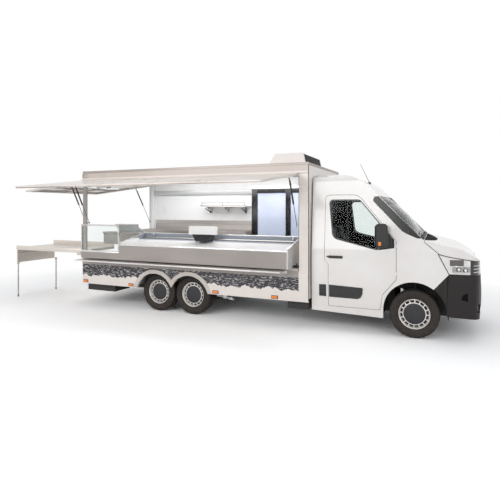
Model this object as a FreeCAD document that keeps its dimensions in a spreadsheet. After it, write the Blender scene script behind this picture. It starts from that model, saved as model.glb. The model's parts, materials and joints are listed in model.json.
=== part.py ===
"""Food truck: a cab-chassis van with tandem rear axles and a sales body, standing open for business.

The truck is drawn with X forward, Y to its left and Z up, from the ground point under its front axle.
Each sub-part is then shifted by the same amount, so that the origin lies on the ground under the middle
of everything. The serving side is the right one, at negative Y. Lengths are in millimetres, angles in
degrees.
"""
import FreeCAD, Part
import math
import os
import Sketcher

doc = FreeCAD.newDocument("FoodTruck")
sheet = doc.addObject("Spreadsheet::Sheet", "Sizes")

SIZES = {
    # Running gear: places of the axles, forward positive, and the wheels on them
    "tyre_radius": 349,
    "tyre_width": 225,
    "tread_width": 180,
    "bead_radius": 206,
    "bead_width": 164,
    "shoulder_round": 14,
    "sidewall_round": 60,
    "rim_flange_radius": 217,
    "rim_flange_width": 9,
    "rim_barrel": 8,
    "disc_plate": 7,
    "disc_recess": 46,
    "hub_cap_radius": 152,
    "hub_cap_bulge": 26,
    "hub_drum_radius": 135,
    "hub_drum_depth": 60,
    "rim_hole_radius": 13,
    "rim_hole_circle": 178,
    "rim_hole_count": 16,
    "spindle_radius": 30,
    "running_clearance": 0.3,
    "first_rear_axle": -3690,
    "second_rear_axle": -4410,
    "front_half_track": 838,
    "rear_half_track": 862,
    "kingpin_half_track": 660,
    "ball_pin_radius": 15,
    "ball_pin_length": 30,
    "knuckle_length": 100,
    "knuckle_width": 90,
    "knuckle_below": 75,
    "knuckle_above": 120,
    "steering_arm_length": 150,
    "steering_arm_depth": 24,
    "arm_depth": 26,
    "cross_member_length": 150,
    "cross_member_depth": 60,
    "strut_radius": 27,
    "strut_mount_radius": 55,
    "strut_mount_depth": 10,
    "liner_radius": 455,
    "liner_wall": 8,
    "liner_inner": 506,
    # Rear axles: torsion tubes with trailing arms
    "axle_tube_radius": 50,
    "axle_tube_lead": 190,
    "axle_tube_height": 235,
    "trailing_arm_width": 50,
    "trailing_arm_depth": 70,
    "trailing_arm_clearance": 8,
    # Chassis frame
    "rail_inner": 430,
    "rail_flange": 70,
    "rail_bottom": 300,
    "rail_top": 440,
    "rail_wall": 5,
    "rail_front": 740,
    "rail_rear": -6040,
    "rail_cross_length": 80,
    "under_box_rear": -6040,
    "under_box_front": -5380,
    "battery_box_rear": -1900,
    "battery_box_front": -1560,
    "under_box_outer": 1010,
    "under_box_bottom": 285,
    "engine_front": 640,
    "engine_rear": 120,
    "engine_half": 380,
    "engine_top": 980,
    # Cab
    "cab_rear": -1513,
    "cab_bottom": 290,
    "cab_half": 985,
    "cab_sill_half": 960,
    "cab_top": 2440,
    "cab_top_half": 875,
    "cab_roof_edge": 2370,
    "cab_wall": 60,
    "panel_wall": 24,
    "shut_gap": 6,
    "roof_corner": -851,
    "windscreen_foot": 116,
    "windscreen_foot_height": 1433,
    "hood_corner": 640,
    "hood_corner_drop": 131,
    "nose_top": 866,
    "nose_top_height": 1150,
    "nose_front": 902,
    "nose_front_height": 620,
    "chin": 850,
    "chin_height": 222,
    "nose_half": 470,
    "nose_corner_half": 800,
    "nose_corner": 838,
    "cheek": 430,
    "beltline": 1250,
    "roof_bend": 870,
    "firewall_front": 20,
    "firewall_rear": -30,
    "floor_underside": 445,
    "floor_half": 900,
    "cab_floor": 30,
    "cab_mount": 70,
    "arch_radius": 430,
    "arch_centre_height": 388,
    "arch_inner": 450,
    "door_rear": -1310,
    "door_rear_low": -1252,
    "door_step_height": 1050,
    "door_step": 30,
    "door_top": 2095,
    "door_pillar_top": -800,
    "door_front": -240,
    "door_front_top": 1400,
    "door_front_low": 840,
    "door_arch_top": -440,
    "door_arch_height": 600,
    "door_foot": -468,
    "door_bottom": 372,
    "window_rear": -1255,
    "window_rear_low": -1190,
    "window_top": 2022,
    "window_pillar_top": -775,
    "window_front": -272,
    "window_front_top": 1420,
    "window_front_low": 1300,
    "window_low": -520,
    "window_low_height": 1258,
    "window_sill_height": 1420,
    "window_corner": 60,
    "sail_rear": -478,
    "glass_recess": 8,
    "glass": 6,
    "glass_gap": 1,
    "screen_half_top": 835,
    "screen_half_bottom": 895,
    "screen_top": 2072,
    "screen_foot_rise": 27,
    "screen_round": 80,
    "screen_reach": 220,
    "hood_line_rear": 135,
    "hood_line_rear_drop": 35,
    "hood_line_bend": 330,
    "hood_line_bend_drop": 201,
    "hood_line_lamp": 470,
    "hood_line_lamp_drop": 237,
    "hood_line_front_drop": 325,
    "bumper_split_rear": 200,
    "bumper_split_rear_height": 664,
    "bumper_split_lamp": 459,
    "bumper_split_lamp_height": 954,
    "lamp_rear_top": 317,
    "lamp_inner_half": 455,
    "grille_half": 448,
    "grille_bottom": 800,
    "grille_bar": 22,
    "grille_gap": 26,
    "grille_depth": 30,
    "fog_half": 560,
    "fog_outer_half": 760,
    "fog_bottom": 400,
    "fog_top": 520,
    "fog_depth": 40,
    "tow_bore_radius": 12,
    "tow_bore_side": 300,
    "tow_bore_height": 640,
    "intake_half": 430,
    "intake_bottom": 330,
    "intake_top": 560,
    "door_hinge_x": -238,
    "door_hinge_inset": 5,
    "door_hinge_low": 900,
    "door_hinge_high": 1300,
    "door_hinge_length": 60,
    "hood_hinge_x": 138,
    "hood_hinge_drop": 5,
    "hood_hinge_half": 600,
    "hood_hinge_radius": 5,
    "mirror_front": -330,
    "mirror_depth": 150,
    "mirror_width": 170,
    "mirror_bottom": 1330,
    "mirror_height": 300,
    "mirror_stand_off": 60,
    "sail_wall": 30,
    "seat_front": -800,
    "seat_length": 480,
    "seat_base_height": 860,
    "seat_cushion": 130,
    "seat_back_rear": -1440,
    "seat_back_height": 1560,
    "driver_seat_middle": 480,
    "driver_seat_half": 240,
    "bench_middle": -370,
    "bench_half": 400,
    "dash_rear": -390,
    "dash_front": -40,
    "dash_bottom": 940,
    "dash_top": 1270,
    "dash_half": 905,
    "wheel_rim_radius": 190,
    "wheel_rim_round": 15,
    "column_radius": 28,
    "column_length": 230,
    "column_tilt": 58,
    # Sales body
    "body_front": -1535,
    "body_rear": -6100,
    "body_half": 1100,
    "body_top": 2600,
    "body_wall": 40,
    "skirt_bottom": 420,
    "sill_height": 900,
    "head_height": 2400,
    "front_post": 149,
    "rear_post": 100,
    "post_wall": 25,
    "floor_top": 520,
    "floor_depth": 56,
    "body_arch_radius": 400,
    "body_arch_height": 300,
    "arch_trim": 14,
    "arch_trim_wall": 6,
    "wheel_box_inner": 705,
    "wheel_box_top": 790,
    "wheel_box_wall": 10,
    "wheel_box_clearance": 60,
    "rear_sill_height": 640,
    "roof_edge": 60,
    "roof_edge_proud": 8,
    "cooler_length": 700,
    "cooler_rear": -2430,
    "cooler_half": 560,
    "cooler_height": 225,
    "cooler_slope": 150,
    "cooler_round": 30,
    "cooler_fan_radius": 170,
    "cooler_fan_depth": 20,
    # Flaps
    "flap_wall": 35,
    "flap_skin": 8,
    "flap_frame": 60,
    "flap_stand_off": 5,
    "flap_hinge_height": 2430,
    "side_flap_width": 1550,
    "side_flap_front": -1697,
    "side_flap_rear": -5995,
    "side_flap_open": 7,
    "side_flap_bars": 3,
    "rear_flap_width": 1590,
    "rear_flap_half": 1060,
    "rear_flap_open": 6,
    "hinge_radius": 9,
    "hinge_gap": 0.5,
    "hinge_rail": 16,
    # Gas struts
    "strut_eye": 14,
    "strut_pin": 7,
    "strut_neck": 34,
    "strut_cylinder_radius": 14,
    "strut_rod_radius": 5,
    "strut_plate": 11,
    "strut_lug": 62,
    "side_strut_seat": 312,
    "side_strut_foot": 1600,
    "side_strut_foot_in": 34,
    "rear_strut_seat": 330,
    "rear_strut_foot": 1560,
    "rear_strut_foot_in": 34,
    "strut_bracket": 28,
    "strut_cylinder_length": 425,
    "strut_overlap": 32,
    # Display counter
    "counter_front": 1300,
    "counter_depth": 760,
    "counter_bottom": 942,
    "counter_wall": 20,
    "counter_top": 1215,
    "counter_back": 1400,
    "counter_front_end": -1800,
    "counter_split": -5045,
    "counter_rear": -5944,
    "tray_height": 1180,
    "tray_slope": 110,
    "tray_lip": 35,
    "counter_slide": 225,
    "counter_leg": 40,
    "desk_bottom": 1165,
    "desk_depth": 200,
    "desk_overhang": 55,
    "desk_nose": 24,
    "desk_shelf_height": 1565,
    "desk_shelf_rear": -5660,
    "desk_shelf_front": -5230,
    "guard_tube": 25,
    "guard_top": 1580,
    # Rear table
    "table_front": -6200,
    "table_rear": -7980,
    "table_width": 1000,
    "table_top": 1050,
    "table_depth": 50,
    "table_lip": 90,
    "table_lip_wall": 16,
    "table_apron_bottom": 725,
    "table_apron_wall": 18,
    "table_clearance": 6,
    "runner_width": 30,
    "runner_front": -5650,
    "runner_lap": 100,
    "table_stop": 25,
    "leg_radius": 13,
    "leg_foot_radius": 15,
    "leg_foot_depth": 8,
    "leg_head": 40,
    "leg_pivot_drop": 22,
    "leg_pitch": 54,
    # Bag shelf
    "shelf_depth": 330,
    "shelf_wall": 22,
    "shelf_front": -1875,
    "shelf_rear": -5960,
    "shelf_hinge_height": 860,
    "shelf_top": 920,
    "shelf_hinge_out": 1120,
    "sill_strip_bottom": 800,
    "sill_strip_top": 868,
    "sill_strip_proud": 6,
    # Fittings inside
    "fridge_left": 1050,
    "fridge_depth": 520,
    "fridge_front_end": -1620,
    "fridge_width": 1560,
    "fridge_top": 2330,
    "fridge_wall": 40,
    "fridge_door_bottom": 1260,
    "fridge_door_top": 2240,
    "fridge_door": 34,
    "fridge_door_gap": 5,
    "fridge_side": 70,
    "fridge_bracket": 10,
    "fridge_pivot_inset": 12,
    "fridge_pin": 4,
    "bench_front_end": -3300,
    "bench_rear_end": -5900,
    "bench_depth": 560,
    "bench_height": 1410,
    "bench_plate": 40,
    "bench_splash": 200,
    "shelf_inside_front": -3430,
    "shelf_inside_rear": -4520,
    "shelf_inside_depth": 300,
    "shelf_inside_height": 1940,
    "shelf_inside_plate": 25,
    "shelf_inside_bracket": 150,
    "scale_front": -3290,
    "scale_length": 560,
    "scale_middle": 800,
    "scale_depth": 260,
    "scale_height": 150,
    "scale_stand": 160,
    "scale_foot": 20,
    "overrun": 20,
}

for row, (alias, value) in enumerate(SIZES.items(), start=1):
    sheet.set(f"A{row}", alias)
    sheet.set(f"B{row}", str(value))
    sheet.setAlias(f"B{row}", alias)
doc.recompute()


class Size(float):
    """A number together with the sheet expression that gives it."""

    def __new__(cls, value, text=None):
        size = super().__new__(cls, value)
        size.text = repr(value) if text is None else text
        return size

    def __add__(self, other):
        return join_text(self, other, "+", float(self) + float(other))

    def __radd__(self, other):
        return join_text(other, self, "+", float(other) + float(self))

    def __sub__(self, other):
        return join_text(self, other, "-", float(self) - float(other))

    def __rsub__(self, other):
        return join_text(other, self, "-", float(other) - float(self))

    def __mul__(self, other):
        return join_text(self, other, "*", float(self) * float(other))

    def __rmul__(self, other):
        return join_text(other, self, "*", float(other) * float(self))

    def __truediv__(self, other):
        return join_text(self, other, "/", float(self) / float(other))

    def __neg__(self):
        return join_text(0, self, "-", -float(self))


def sized(value):
    """The value as a Size: a plain number is its own expression."""
    return value if isinstance(value, Size) else Size(value)


def join_text(left, right, sign, value):
    """One step of a sum, as a value and as an expression."""
    return Size(value, f"({sized(left).text} {sign} {sized(right).text})")


def cosine(angle):
    return Size(math.cos(math.radians(angle)), f"cos({sized(angle).text})")


def sine(angle):
    return Size(math.sin(math.radians(angle)), f"sin({sized(angle).text})")


def root(value):
    return Size(math.sqrt(value), f"sqrt({sized(value).text})")


def bearing(rise, run):
    """The angle whose tangent is rise over run."""
    return Size(math.degrees(math.atan2(rise, run)), f"(atan2({sized(rise).text}; {sized(run).text}) / 1deg)")


class Sheet:
    """The cells of the sheet by their aliases."""

    def __getattr__(self, alias):
        return Size(sheet.get(alias), f"Sizes.{alias}")


S = Sheet()


def bind(thing, path, size):
    thing.setExpression(path, sized(size).text)


def settle(thing, at=(0, 0, 0), turn=(0, 0, 0)):
    """Bind the placement of an object to a place and to yaw, pitch and roll."""
    place = "; ".join(sized(value).text for value in at)
    angles = "; ".join(sized(value).text for value in turn)
    thing.setExpression("Placement", f"placement(vector({place}); rotation({angles}))")


# Sketches on the three planes: the turn of the plane, and which axis its normal follows
PLANES = {"XY": (0, 0, 0), "XZ": (0, 0, 90), "YZ": (90, 0, 90)}


def draw(sketch, corners):
    """Close an outline through corners (u, v) or (u, v, round), and bind every corner to the sheet."""
    count = len(corners)
    points = [FreeCAD.Vector(float(corner[0]), float(corner[1]), 0) for corner in corners]
    entries, exits, arcs = [], [], []
    upright_axis = FreeCAD.Vector(0, 0, 1)
    for index, corner in enumerate(corners):
        here, before, after = points[index], points[index - 1], points[(index + 1) % count]
        if len(corner) < 3:
            entries.append(here)
            exits.append(here)
            arcs.append(None)
            continue
        to_before = (before - here).normalize()
        to_after = (after - here).normalize()
        half = to_before.getAngle(to_after) / 2
        radius = float(corner[2])
        centre = here + (to_before + to_after).normalize() * (radius / math.sin(half))
        entries.append(here + to_before * (radius / math.tan(half)))
        exits.append(here + to_after * (radius / math.tan(half)))
        turns_left = to_before.cross(to_after).z < 0
        start, end = (entries[-1], exits[-1]) if turns_left else (exits[-1], entries[-1])
        first = math.atan2(start.y - centre.y, start.x - centre.x)
        last = math.atan2(end.y - centre.y, end.x - centre.x)
        circle = Part.Circle(centre, upright_axis, radius)
        arcs.append((Part.ArcOfCircle(circle, first, last), turns_left))
    lines = []
    for index in range(count):
        start, end = exits[index], entries[(index + 1) % count]
        lines.append(sketch.addGeometry(Part.LineSegment(start, end)))
    rules = []
    for index, corner in enumerate(corners):
        arriving, leaving = lines[index - 1], lines[index]
        if arcs[index] is None:
            rules.append(Sketcher.Constraint("Coincident", arriving, 2, leaving, 1))
            marked, spot = leaving, 1
        else:
            arc, turns_left = arcs[index]
            curve = sketch.addGeometry(arc)
            ends = (1, 2) if turns_left else (2, 1)
            rules.append(Sketcher.Constraint("Tangent", arriving, 2, curve, ends[0]))
            rules.append(Sketcher.Constraint("Tangent", leaving, 1, curve, ends[1]))
            marked = sketch.addGeometry(Part.Point(points[index]), True)
            spot = 1
            rules.append(Sketcher.Constraint("PointOnObject", marked, 1, arriving))
            rules.append(Sketcher.Constraint("PointOnObject", marked, 1, leaving))
            rules.append(("Radius", curve, sized(corner[2])))
        rules.append(("DistanceX", marked, spot, sized(corner[0])))
        rules.append(("DistanceY", marked, spot, sized(corner[1])))
    constrain(sketch, rules)


def ring(sketch, centre_u, centre_v, radius):
    """A circle in a sketch, bound to the sheet."""
    middle = FreeCAD.Vector(float(centre_u), float(centre_v), 0)
    circle = sketch.addGeometry(Part.Circle(middle, FreeCAD.Vector(0, 0, 1), float(radius)))
    constrain(sketch, [
        ("DistanceX", circle, 3, sized(centre_u)),
        ("DistanceY", circle, 3, sized(centre_v)),
        ("Radius", circle, sized(radius)),
    ])


def constrain(sketch, rules):
    """Add plain constraints, and sized ones that follow the sheet."""
    for rule in rules:
        if isinstance(rule, Sketcher.Constraint):
            sketch.addConstraint(rule)
            continue
        index = sketch.addConstraint(Sketcher.Constraint(*rule[:-1], float(rule[-1])))
        bind(sketch, f"Constraints[{index}]", rule[-1])


def slab(name, plane, outlines, low, high):
    """A sketch on a plane of the truck, extruded from low to high along the axis across the plane.

    outlines is one list of corners, or several: the later ones are holes in the first.
    """
    sketch = doc.addObject("Sketcher::SketchObject", name + "_sketch")
    if not isinstance(outlines[0], list):
        outlines = [outlines]
    for corners in outlines:
        draw(sketch, corners)
    base = {"XY": (0, 0, low), "XZ": (0, high, 0), "YZ": (low, 0, 0)}[plane]
    settle(sketch, base, PLANES[plane])
    solid = doc.addObject("Part::Extrusion", name)
    solid.Base = sketch
    solid.DirMode = "Normal"
    solid.Solid = True
    bind(solid, "LengthFwd", high - low)
    return solid


def block(name, x, y, z):
    """A box between two places on each axis."""
    solid = doc.addObject("Part::Box", name)
    bind(solid, "Length", x[1] - x[0])
    bind(solid, "Width", y[1] - y[0])
    bind(solid, "Height", z[1] - z[0])
    settle(solid, (x[0], y[0], z[0]))
    return solid


AXIS_TURNS = {"x": (0, 90, 0), "y": (0, 0, -90), "z": (0, 0, 0)}


def rod(name, axis, radius, length, at):
    """A round bar from a place, along an axis."""
    solid = doc.addObject("Part::Cylinder", name)
    bind(solid, "Radius", radius)
    bind(solid, "Height", length)
    settle(solid, at, AXIS_TURNS[axis])
    return solid


def fuse(name, *pieces):
    solid = doc.addObject("Part::MultiFuse", name)
    solid.Shapes = list(pieces)
    solid.Refine = True
    return solid


def common(name, *pieces):
    solid = doc.addObject("Part::MultiCommon", name)
    solid.Shapes = list(pieces)
    return solid


def cut(name, base, *tools):
    solid = doc.addObject("Part::Cut", name)
    solid.Base = base
    solid.Tool = tools[0] if len(tools) == 1 else fuse(name + "_tools", *tools)
    return solid


def mirrored(name, source):
    """The same piece on the truck's other side."""
    solid = doc.addObject("Part::Mirroring", name)
    solid.Source = source
    solid.Normal = (0, 1, 0)
    return solid


def both_sides(name, source):
    """The piece and its mirror image, as two solids that do not touch."""
    solid = doc.addObject("Part::Compound", name)
    solid.Links = [source, mirrored(name + "_other", source)]
    return solid


# The body of everything that stands out furthest, for the shift to the origin
flap_reach = S.side_flap_width * cosine(S.side_flap_open)
right_reach = S.body_half + S.flap_stand_off + S.flap_wall + flap_reach
left_reach = S.cab_half + S.mirror_stand_off + S.mirror_width
shift_x = -(S.nose_front + S.table_rear) / 2
shift_y = (right_reach - left_reach) / 2

# Heights on the cab that follow the windscreen's foot
hood_corner_height = S.windscreen_foot_height - S.hood_corner_drop
hood_line_rear_height = S.windscreen_foot_height - S.hood_line_rear_drop
hood_line_bend_height = S.windscreen_foot_height - S.hood_line_bend_drop
hood_line_lamp_height = S.windscreen_foot_height - S.hood_line_lamp_drop
hood_line_front_height = S.windscreen_foot_height - S.hood_line_front_drop
hood_hinge_height = S.windscreen_foot_height - S.hood_hinge_drop
screen_bottom = S.windscreen_foot_height + S.screen_foot_rise

parts = []


def part(label, source, at=(0, 0, 0), turn=(0, 0, 0)):
    """One sub-part: a compound with its own label and placement in the truck's frame."""
    for namesake in doc.getObjectsByLabel(label):
        namesake.Label = label + "_shape"
    sub_part = doc.addObject("Part::Compound", "part_" + label)
    sub_part.Label = label
    sub_part.Links = source if isinstance(source, list) else [source]
    settle(sub_part, (shift_x + at[0], shift_y + at[1], at[2]), turn)
    parts.append(sub_part)
    return sub_part


# Wheels: a tyre and a steel rim turned about the wheel's own axis, the outer side towards negative Y


def turned_body(name, corners):
    """A body turned about the Y axis from an outline of (place along the axis, radius)."""
    body = doc.addObject("PartDesign::Body", name)
    sketch = body.newObject("Sketcher::SketchObject", name + "_profile")
    sketch.AttachmentSupport = [(plane_of(body, "YZ_Plane"), "")]
    sketch.MapMode = "FlatFace"
    draw(sketch, corners)
    turned = body.newObject("PartDesign::Revolution", name + "_turned")
    turned.Profile = sketch
    turned.ReferenceAxis = (sketch, ["H_Axis"])
    turned.Angle = 360
    return body


def plane_of(body, role):
    """An origin plane or axis of a body, found by its role."""
    return next(feature for feature in body.Origin.OriginFeatures if feature.Role == role)


half_bead = S.bead_width / 2
half_tread = S.tread_width / 2
half_tyre = S.tyre_width / 2
tyre_body = turned_body("tyre", [
    (-half_bead, S.bead_radius),
    (-half_bead, S.rim_flange_radius + S.running_clearance),
    (-half_tyre, S.tyre_radius - (S.tyre_radius - S.rim_flange_radius) * 0.62, S.sidewall_round),
    (-half_tread - S.shoulder_round, S.tyre_radius, S.shoulder_round),
    (half_tread + S.shoulder_round, S.tyre_radius, S.shoulder_round),
    (half_tyre, S.tyre_radius - (S.tyre_radius - S.rim_flange_radius) * 0.62, S.sidewall_round),
    (half_bead, S.rim_flange_radius + S.running_clearance),
    (half_bead, S.bead_radius),
])

barrel_outer = S.bead_radius - S.running_clearance
barrel_inner = barrel_outer - S.rim_barrel
flange_out = half_bead + S.running_clearance + S.rim_flange_width
disc_outer = -(half_bead - S.disc_recess)
disc_inner = disc_outer + S.disc_plate
hub_inner = disc_inner + S.hub_drum_depth
rim_body = turned_body("rim", [
    (disc_outer - S.hub_cap_bulge, 0),
    (disc_outer - S.hub_cap_bulge, S.hub_cap_radius * 0.72, S.hub_cap_bulge),
    (disc_outer, S.hub_cap_radius),
    (disc_outer, barrel_inner),
    (-flange_out, barrel_inner),
    (-flange_out, S.rim_flange_radius),
    (-half_bead - S.running_clearance, S.rim_flange_radius),
    (-half_bead - S.running_clearance, barrel_outer),
    (half_bead + S.running_clearance, barrel_outer),
    (half_bead + S.running_clearance, S.rim_flange_radius),
    (flange_out, S.rim_flange_radius),
    (flange_out, barrel_inner),
    (disc_inner, barrel_inner),
    (disc_inner, S.hub_drum_radius),
    (hub_inner, S.hub_drum_radius),
    (hub_inner, S.spindle_radius + S.running_clearance),
    (disc_inner, S.spindle_radius + S.running_clearance),
    (disc_inner, 0),
])
hole_sketch = rim_body.newObject("Sketcher::SketchObject", "rim_hole")
hole_sketch.AttachmentSupport = [(plane_of(rim_body, "XZ_Plane"), "")]
hole_sketch.MapMode = "FlatFace"
ring(hole_sketch, 0, S.rim_hole_circle, S.rim_hole_radius)
rim_hole = rim_body.newObject("PartDesign::Pocket", "rim_hole_pocket")
rim_hole.Profile = hole_sketch
rim_hole.Type = "ThroughAll"
rim_hole.Midplane = True
doc.recompute()
hole_ring = rim_body.newObject("PartDesign::PolarPattern", "rim_hole_ring")
hole_ring.Originals = [rim_hole]
hole_ring.Axis = (plane_of(rim_body, "Y_Axis"), [""])
hole_ring.Angle = 360
bind(hole_ring, "Occurrences", S.rim_hole_count)
rim_body.Tip = hole_ring

AXLES = {
    "front": (0, S.front_half_track),
    "middle": (S.first_rear_axle, S.rear_half_track),
    "rear": (S.second_rear_axle, S.rear_half_track),
}
for axle, (axle_x, half_track) in AXLES.items():
    for side, sign, turn in (("right", -1, 0), ("left", 1, 180)):
        at = (axle_x, sign * half_track, S.tyre_radius)
        part(f"tyre_{axle}_{side}", tyre_body, at, (turn, 0, 0))
        part(f"rim_{axle}_{side}", rim_body, at, (turn, 0, 0))

# Steering knuckles: an upright with the spindle, a steering arm, and bores for strut and ball pin
axle_height = S.tyre_radius
kingpin_y = -S.kingpin_half_track
spindle_inner = -S.front_half_track + hub_inner + S.running_clearance
spindle_tip = -S.front_half_track + disc_inner + S.running_clearance
knuckle_low = axle_height - S.knuckle_below
knuckle_high = axle_height + S.knuckle_above
upright = slab("upright", "XZ", [
    (-S.knuckle_length / 2, knuckle_low, S.ball_pin_radius),
    (S.knuckle_length / 2, knuckle_low, S.ball_pin_radius),
    (S.knuckle_length / 2, axle_height + S.spindle_radius),
    (S.knuckle_length * 0.4, knuckle_high),
    (-S.knuckle_length * 0.4, knuckle_high),
    (-S.knuckle_length / 2, axle_height + S.spindle_radius),
], spindle_inner, kingpin_y + S.knuckle_width / 2)
steering_arm = slab("steering_arm", "XY", [
    (-S.knuckle_length * 0.3, kingpin_y),
    (-S.knuckle_length * 0.3, kingpin_y + S.knuckle_width / 2),
    (-S.steering_arm_length, kingpin_y + S.knuckle_width),
    (-S.steering_arm_length, kingpin_y + S.knuckle_width / 2),
], axle_height, axle_height + S.steering_arm_depth)
spindle = rod("spindle", "y", S.spindle_radius, spindle_inner - spindle_tip + S.overrun,
              (0, spindle_tip, axle_height))
strut_bore = rod("strut_bore", "z", S.strut_radius + S.running_clearance, S.knuckle_above,
                 (0, kingpin_y, knuckle_high - S.ball_pin_length))
ball_bore = rod("ball_bore", "z", S.ball_pin_radius + S.running_clearance,
                S.ball_pin_length + S.running_clearance + S.overrun, (0, kingpin_y, knuckle_low - S.overrun))
knuckle = cut("knuckle", fuse("knuckle_body", upright, steering_arm, spindle), strut_bore, ball_bore)
part("knuckle_right", knuckle)
part("knuckle_left", mirrored("knuckle_mirror", knuckle))

# Front suspension: a cross member, lower arms with their ball pins, and struts up to the arches
arm_top = knuckle_low - S.flap_stand_off
arm_low = arm_top - S.arm_depth
cross_half = S.rail_inner - S.rail_flange
arm_root = -cross_half + S.cross_member_length * 0.4
lower_arm = slab("lower_arm", "XY", [
    (-S.cross_member_length * 1.4, arm_root),
    (0, arm_root),
    (S.ball_pin_radius * 2, kingpin_y, S.ball_pin_radius),
    (0, kingpin_y - S.ball_pin_radius * 2, S.ball_pin_radius),
    (-S.ball_pin_radius * 2, kingpin_y, S.ball_pin_radius),
], arm_low, arm_top)
ball_pin = rod("ball_pin", "z", S.ball_pin_radius, S.ball_pin_length + S.flap_stand_off + S.arm_depth / 2,
               (0, kingpin_y, arm_top - S.arm_depth / 2))
cross_member = block("cross_member", (-S.cross_member_length * 1.5, -S.cross_member_length * 0.5),
                     (-cross_half, cross_half), (arm_low - S.arm_depth, arm_low + S.cross_member_depth / 2))
strut_low = knuckle_high - S.ball_pin_length + S.running_clearance
liner_reach = root(S.liner_radius * S.liner_radius - S.strut_mount_radius * S.strut_mount_radius)
strut_high = S.arch_centre_height + liner_reach - S.running_clearance
strut = fuse("strut", rod("strut_tube", "z", S.strut_radius, strut_high - strut_low, (0, kingpin_y, strut_low)),
             rod("strut_mount", "z", S.strut_mount_radius, S.strut_mount_depth,
                 (0, kingpin_y, strut_high - S.strut_mount_depth)))
link_post = block("link_post", (-S.cross_member_length * 1.3, -S.cross_member_length * 0.7),
                  (-S.rail_inner - S.rail_flange * 0.8, -cross_half + S.arm_depth),
                  (arm_low, S.rail_bottom - S.running_clearance))
subframe = fuse("subframe", cross_member, lower_arm, ball_pin, link_post,
                mirrored("lower_arm_left", lower_arm), mirrored("ball_pin_left", ball_pin),
                mirrored("link_post_left", link_post))
part("front_suspension", [subframe, strut, mirrored("strut_left", strut)])

# Arch liners: a bent sheet over each front wheel
liner_outer = S.liner_radius + S.liner_wall
liner_hoop = cut("liner_hoop",
                 rod("liner_drum", "y", liner_outer, S.cab_half - S.cab_wall - S.liner_inner - S.running_clearance,
                     (0, -S.cab_half + S.cab_wall + S.running_clearance, S.arch_centre_height)),
                 rod("liner_hollow", "y", S.liner_radius, S.cab_half,
                     (0, -S.cab_half, S.arch_centre_height)),
                 block("liner_below", (-liner_outer - S.overrun, liner_outer + S.overrun),
                       (-S.cab_half, 0), (-liner_outer, S.arch_centre_height)))
part("arch_liners", both_sides("liners", liner_hoop))

# Rear axles: a torsion tube under the rails, trailing arms, and a spindle into each hub
rear_spindle_tip = -S.rear_half_track + disc_inner + S.running_clearance
arm_outer = -S.rear_half_track + half_tyre + S.trailing_arm_clearance
axle_shapes = []
for index, axle_x in enumerate((S.first_rear_axle, S.second_rear_axle)):
    tube_x = axle_x + S.axle_tube_lead
    tube = rod(f"axle_tube_{index}", "y", S.axle_tube_radius, -2 * arm_outer,
               (tube_x, arm_outer, S.axle_tube_height))
    trailing = slab(f"trailing_arm_{index}", "XZ", [
        (tube_x + S.axle_tube_radius * 0.9, S.axle_tube_height - S.axle_tube_radius * 0.9, S.axle_tube_radius * 0.8),
        (tube_x + S.axle_tube_radius * 0.9, S.axle_tube_height + S.axle_tube_radius * 0.9, S.axle_tube_radius * 0.8),
        (axle_x, axle_height + S.trailing_arm_depth / 2),
        (axle_x - S.trailing_arm_depth / 2, axle_height + S.trailing_arm_depth / 2, S.trailing_arm_depth * 0.3),
        (axle_x - S.trailing_arm_depth / 2, axle_height - S.trailing_arm_depth / 2, S.trailing_arm_depth * 0.3),
        (axle_x, axle_height - S.trailing_arm_depth / 2),
    ], arm_outer, arm_outer + S.trailing_arm_width)
    stub = rod(f"stub_{index}", "y", S.spindle_radius, arm_outer - rear_spindle_tip + S.overrun,
               (axle_x, rear_spindle_tip, axle_height))
    hanger = block(f"axle_hanger_{index}", (tube_x - S.axle_tube_radius, tube_x + S.axle_tube_radius),
                   (-S.rail_inner - S.rail_flange, -S.rail_inner),
                   (S.axle_tube_height, S.rail_bottom - S.running_clearance))
    axle_shapes.append(fuse(f"axle_{index}", tube, trailing, stub, hanger,
                            mirrored(f"trailing_left_{index}", trailing), mirrored(f"stub_left_{index}", stub),
                            mirrored(f"hanger_left_{index}", hanger)))
part("rear_axles", axle_shapes)

# Chassis frame: two channel rails tied by cross members
rail_outer = S.rail_inner + S.rail_flange
rail = slab("rail", "YZ", [
    (-rail_outer, S.rail_bottom),
    (-S.rail_inner, S.rail_bottom),
    (-S.rail_inner, S.rail_bottom + S.rail_wall),
    (-rail_outer + S.rail_wall, S.rail_bottom + S.rail_wall),
    (-rail_outer + S.rail_wall, S.rail_top - S.rail_wall),
    (-S.rail_inner, S.rail_top - S.rail_wall),
    (-S.rail_inner, S.rail_top),
    (-rail_outer, S.rail_top),
], S.rail_rear, S.rail_front)
FRAME_TIE_SHARES = (0.0, 0.14, 0.30, 0.44, 0.58, 0.72, 0.94)
frame_pieces = [rail, mirrored("rail_left", rail)]
rail_length = S.rail_front - S.rail_rear - S.rail_cross_length
for index, share in enumerate(FRAME_TIE_SHARES):
    tie_x = S.rail_rear + rail_length * share
    frame_pieces.append(block(f"frame_tie_{index}", (tie_x, tie_x + S.rail_cross_length),
                              (-rail_outer + S.rail_wall, rail_outer - S.rail_wall),
                              (S.rail_bottom + S.rail_wall, S.rail_top - S.rail_cross_length * 0.6)))
for index, (rear_end, front_end) in enumerate(((S.under_box_rear, S.under_box_front),
                                               (S.battery_box_rear, S.battery_box_front))):
    frame_pieces += [
        block(f"under_box_{index}", (rear_end, front_end), (-S.under_box_outer, -rail_outer - S.rail_flange),
              (S.under_box_bottom, S.skirt_bottom - S.running_clearance)),
        block(f"under_box_arm_{index}", (rear_end + S.rail_flange, front_end - S.rail_flange),
              (-rail_outer - S.rail_flange * 1.5, -rail_outer + S.rail_wall),
              (S.rail_bottom + S.rail_wall, S.rail_bottom + S.rail_flange)),
    ]
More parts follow.
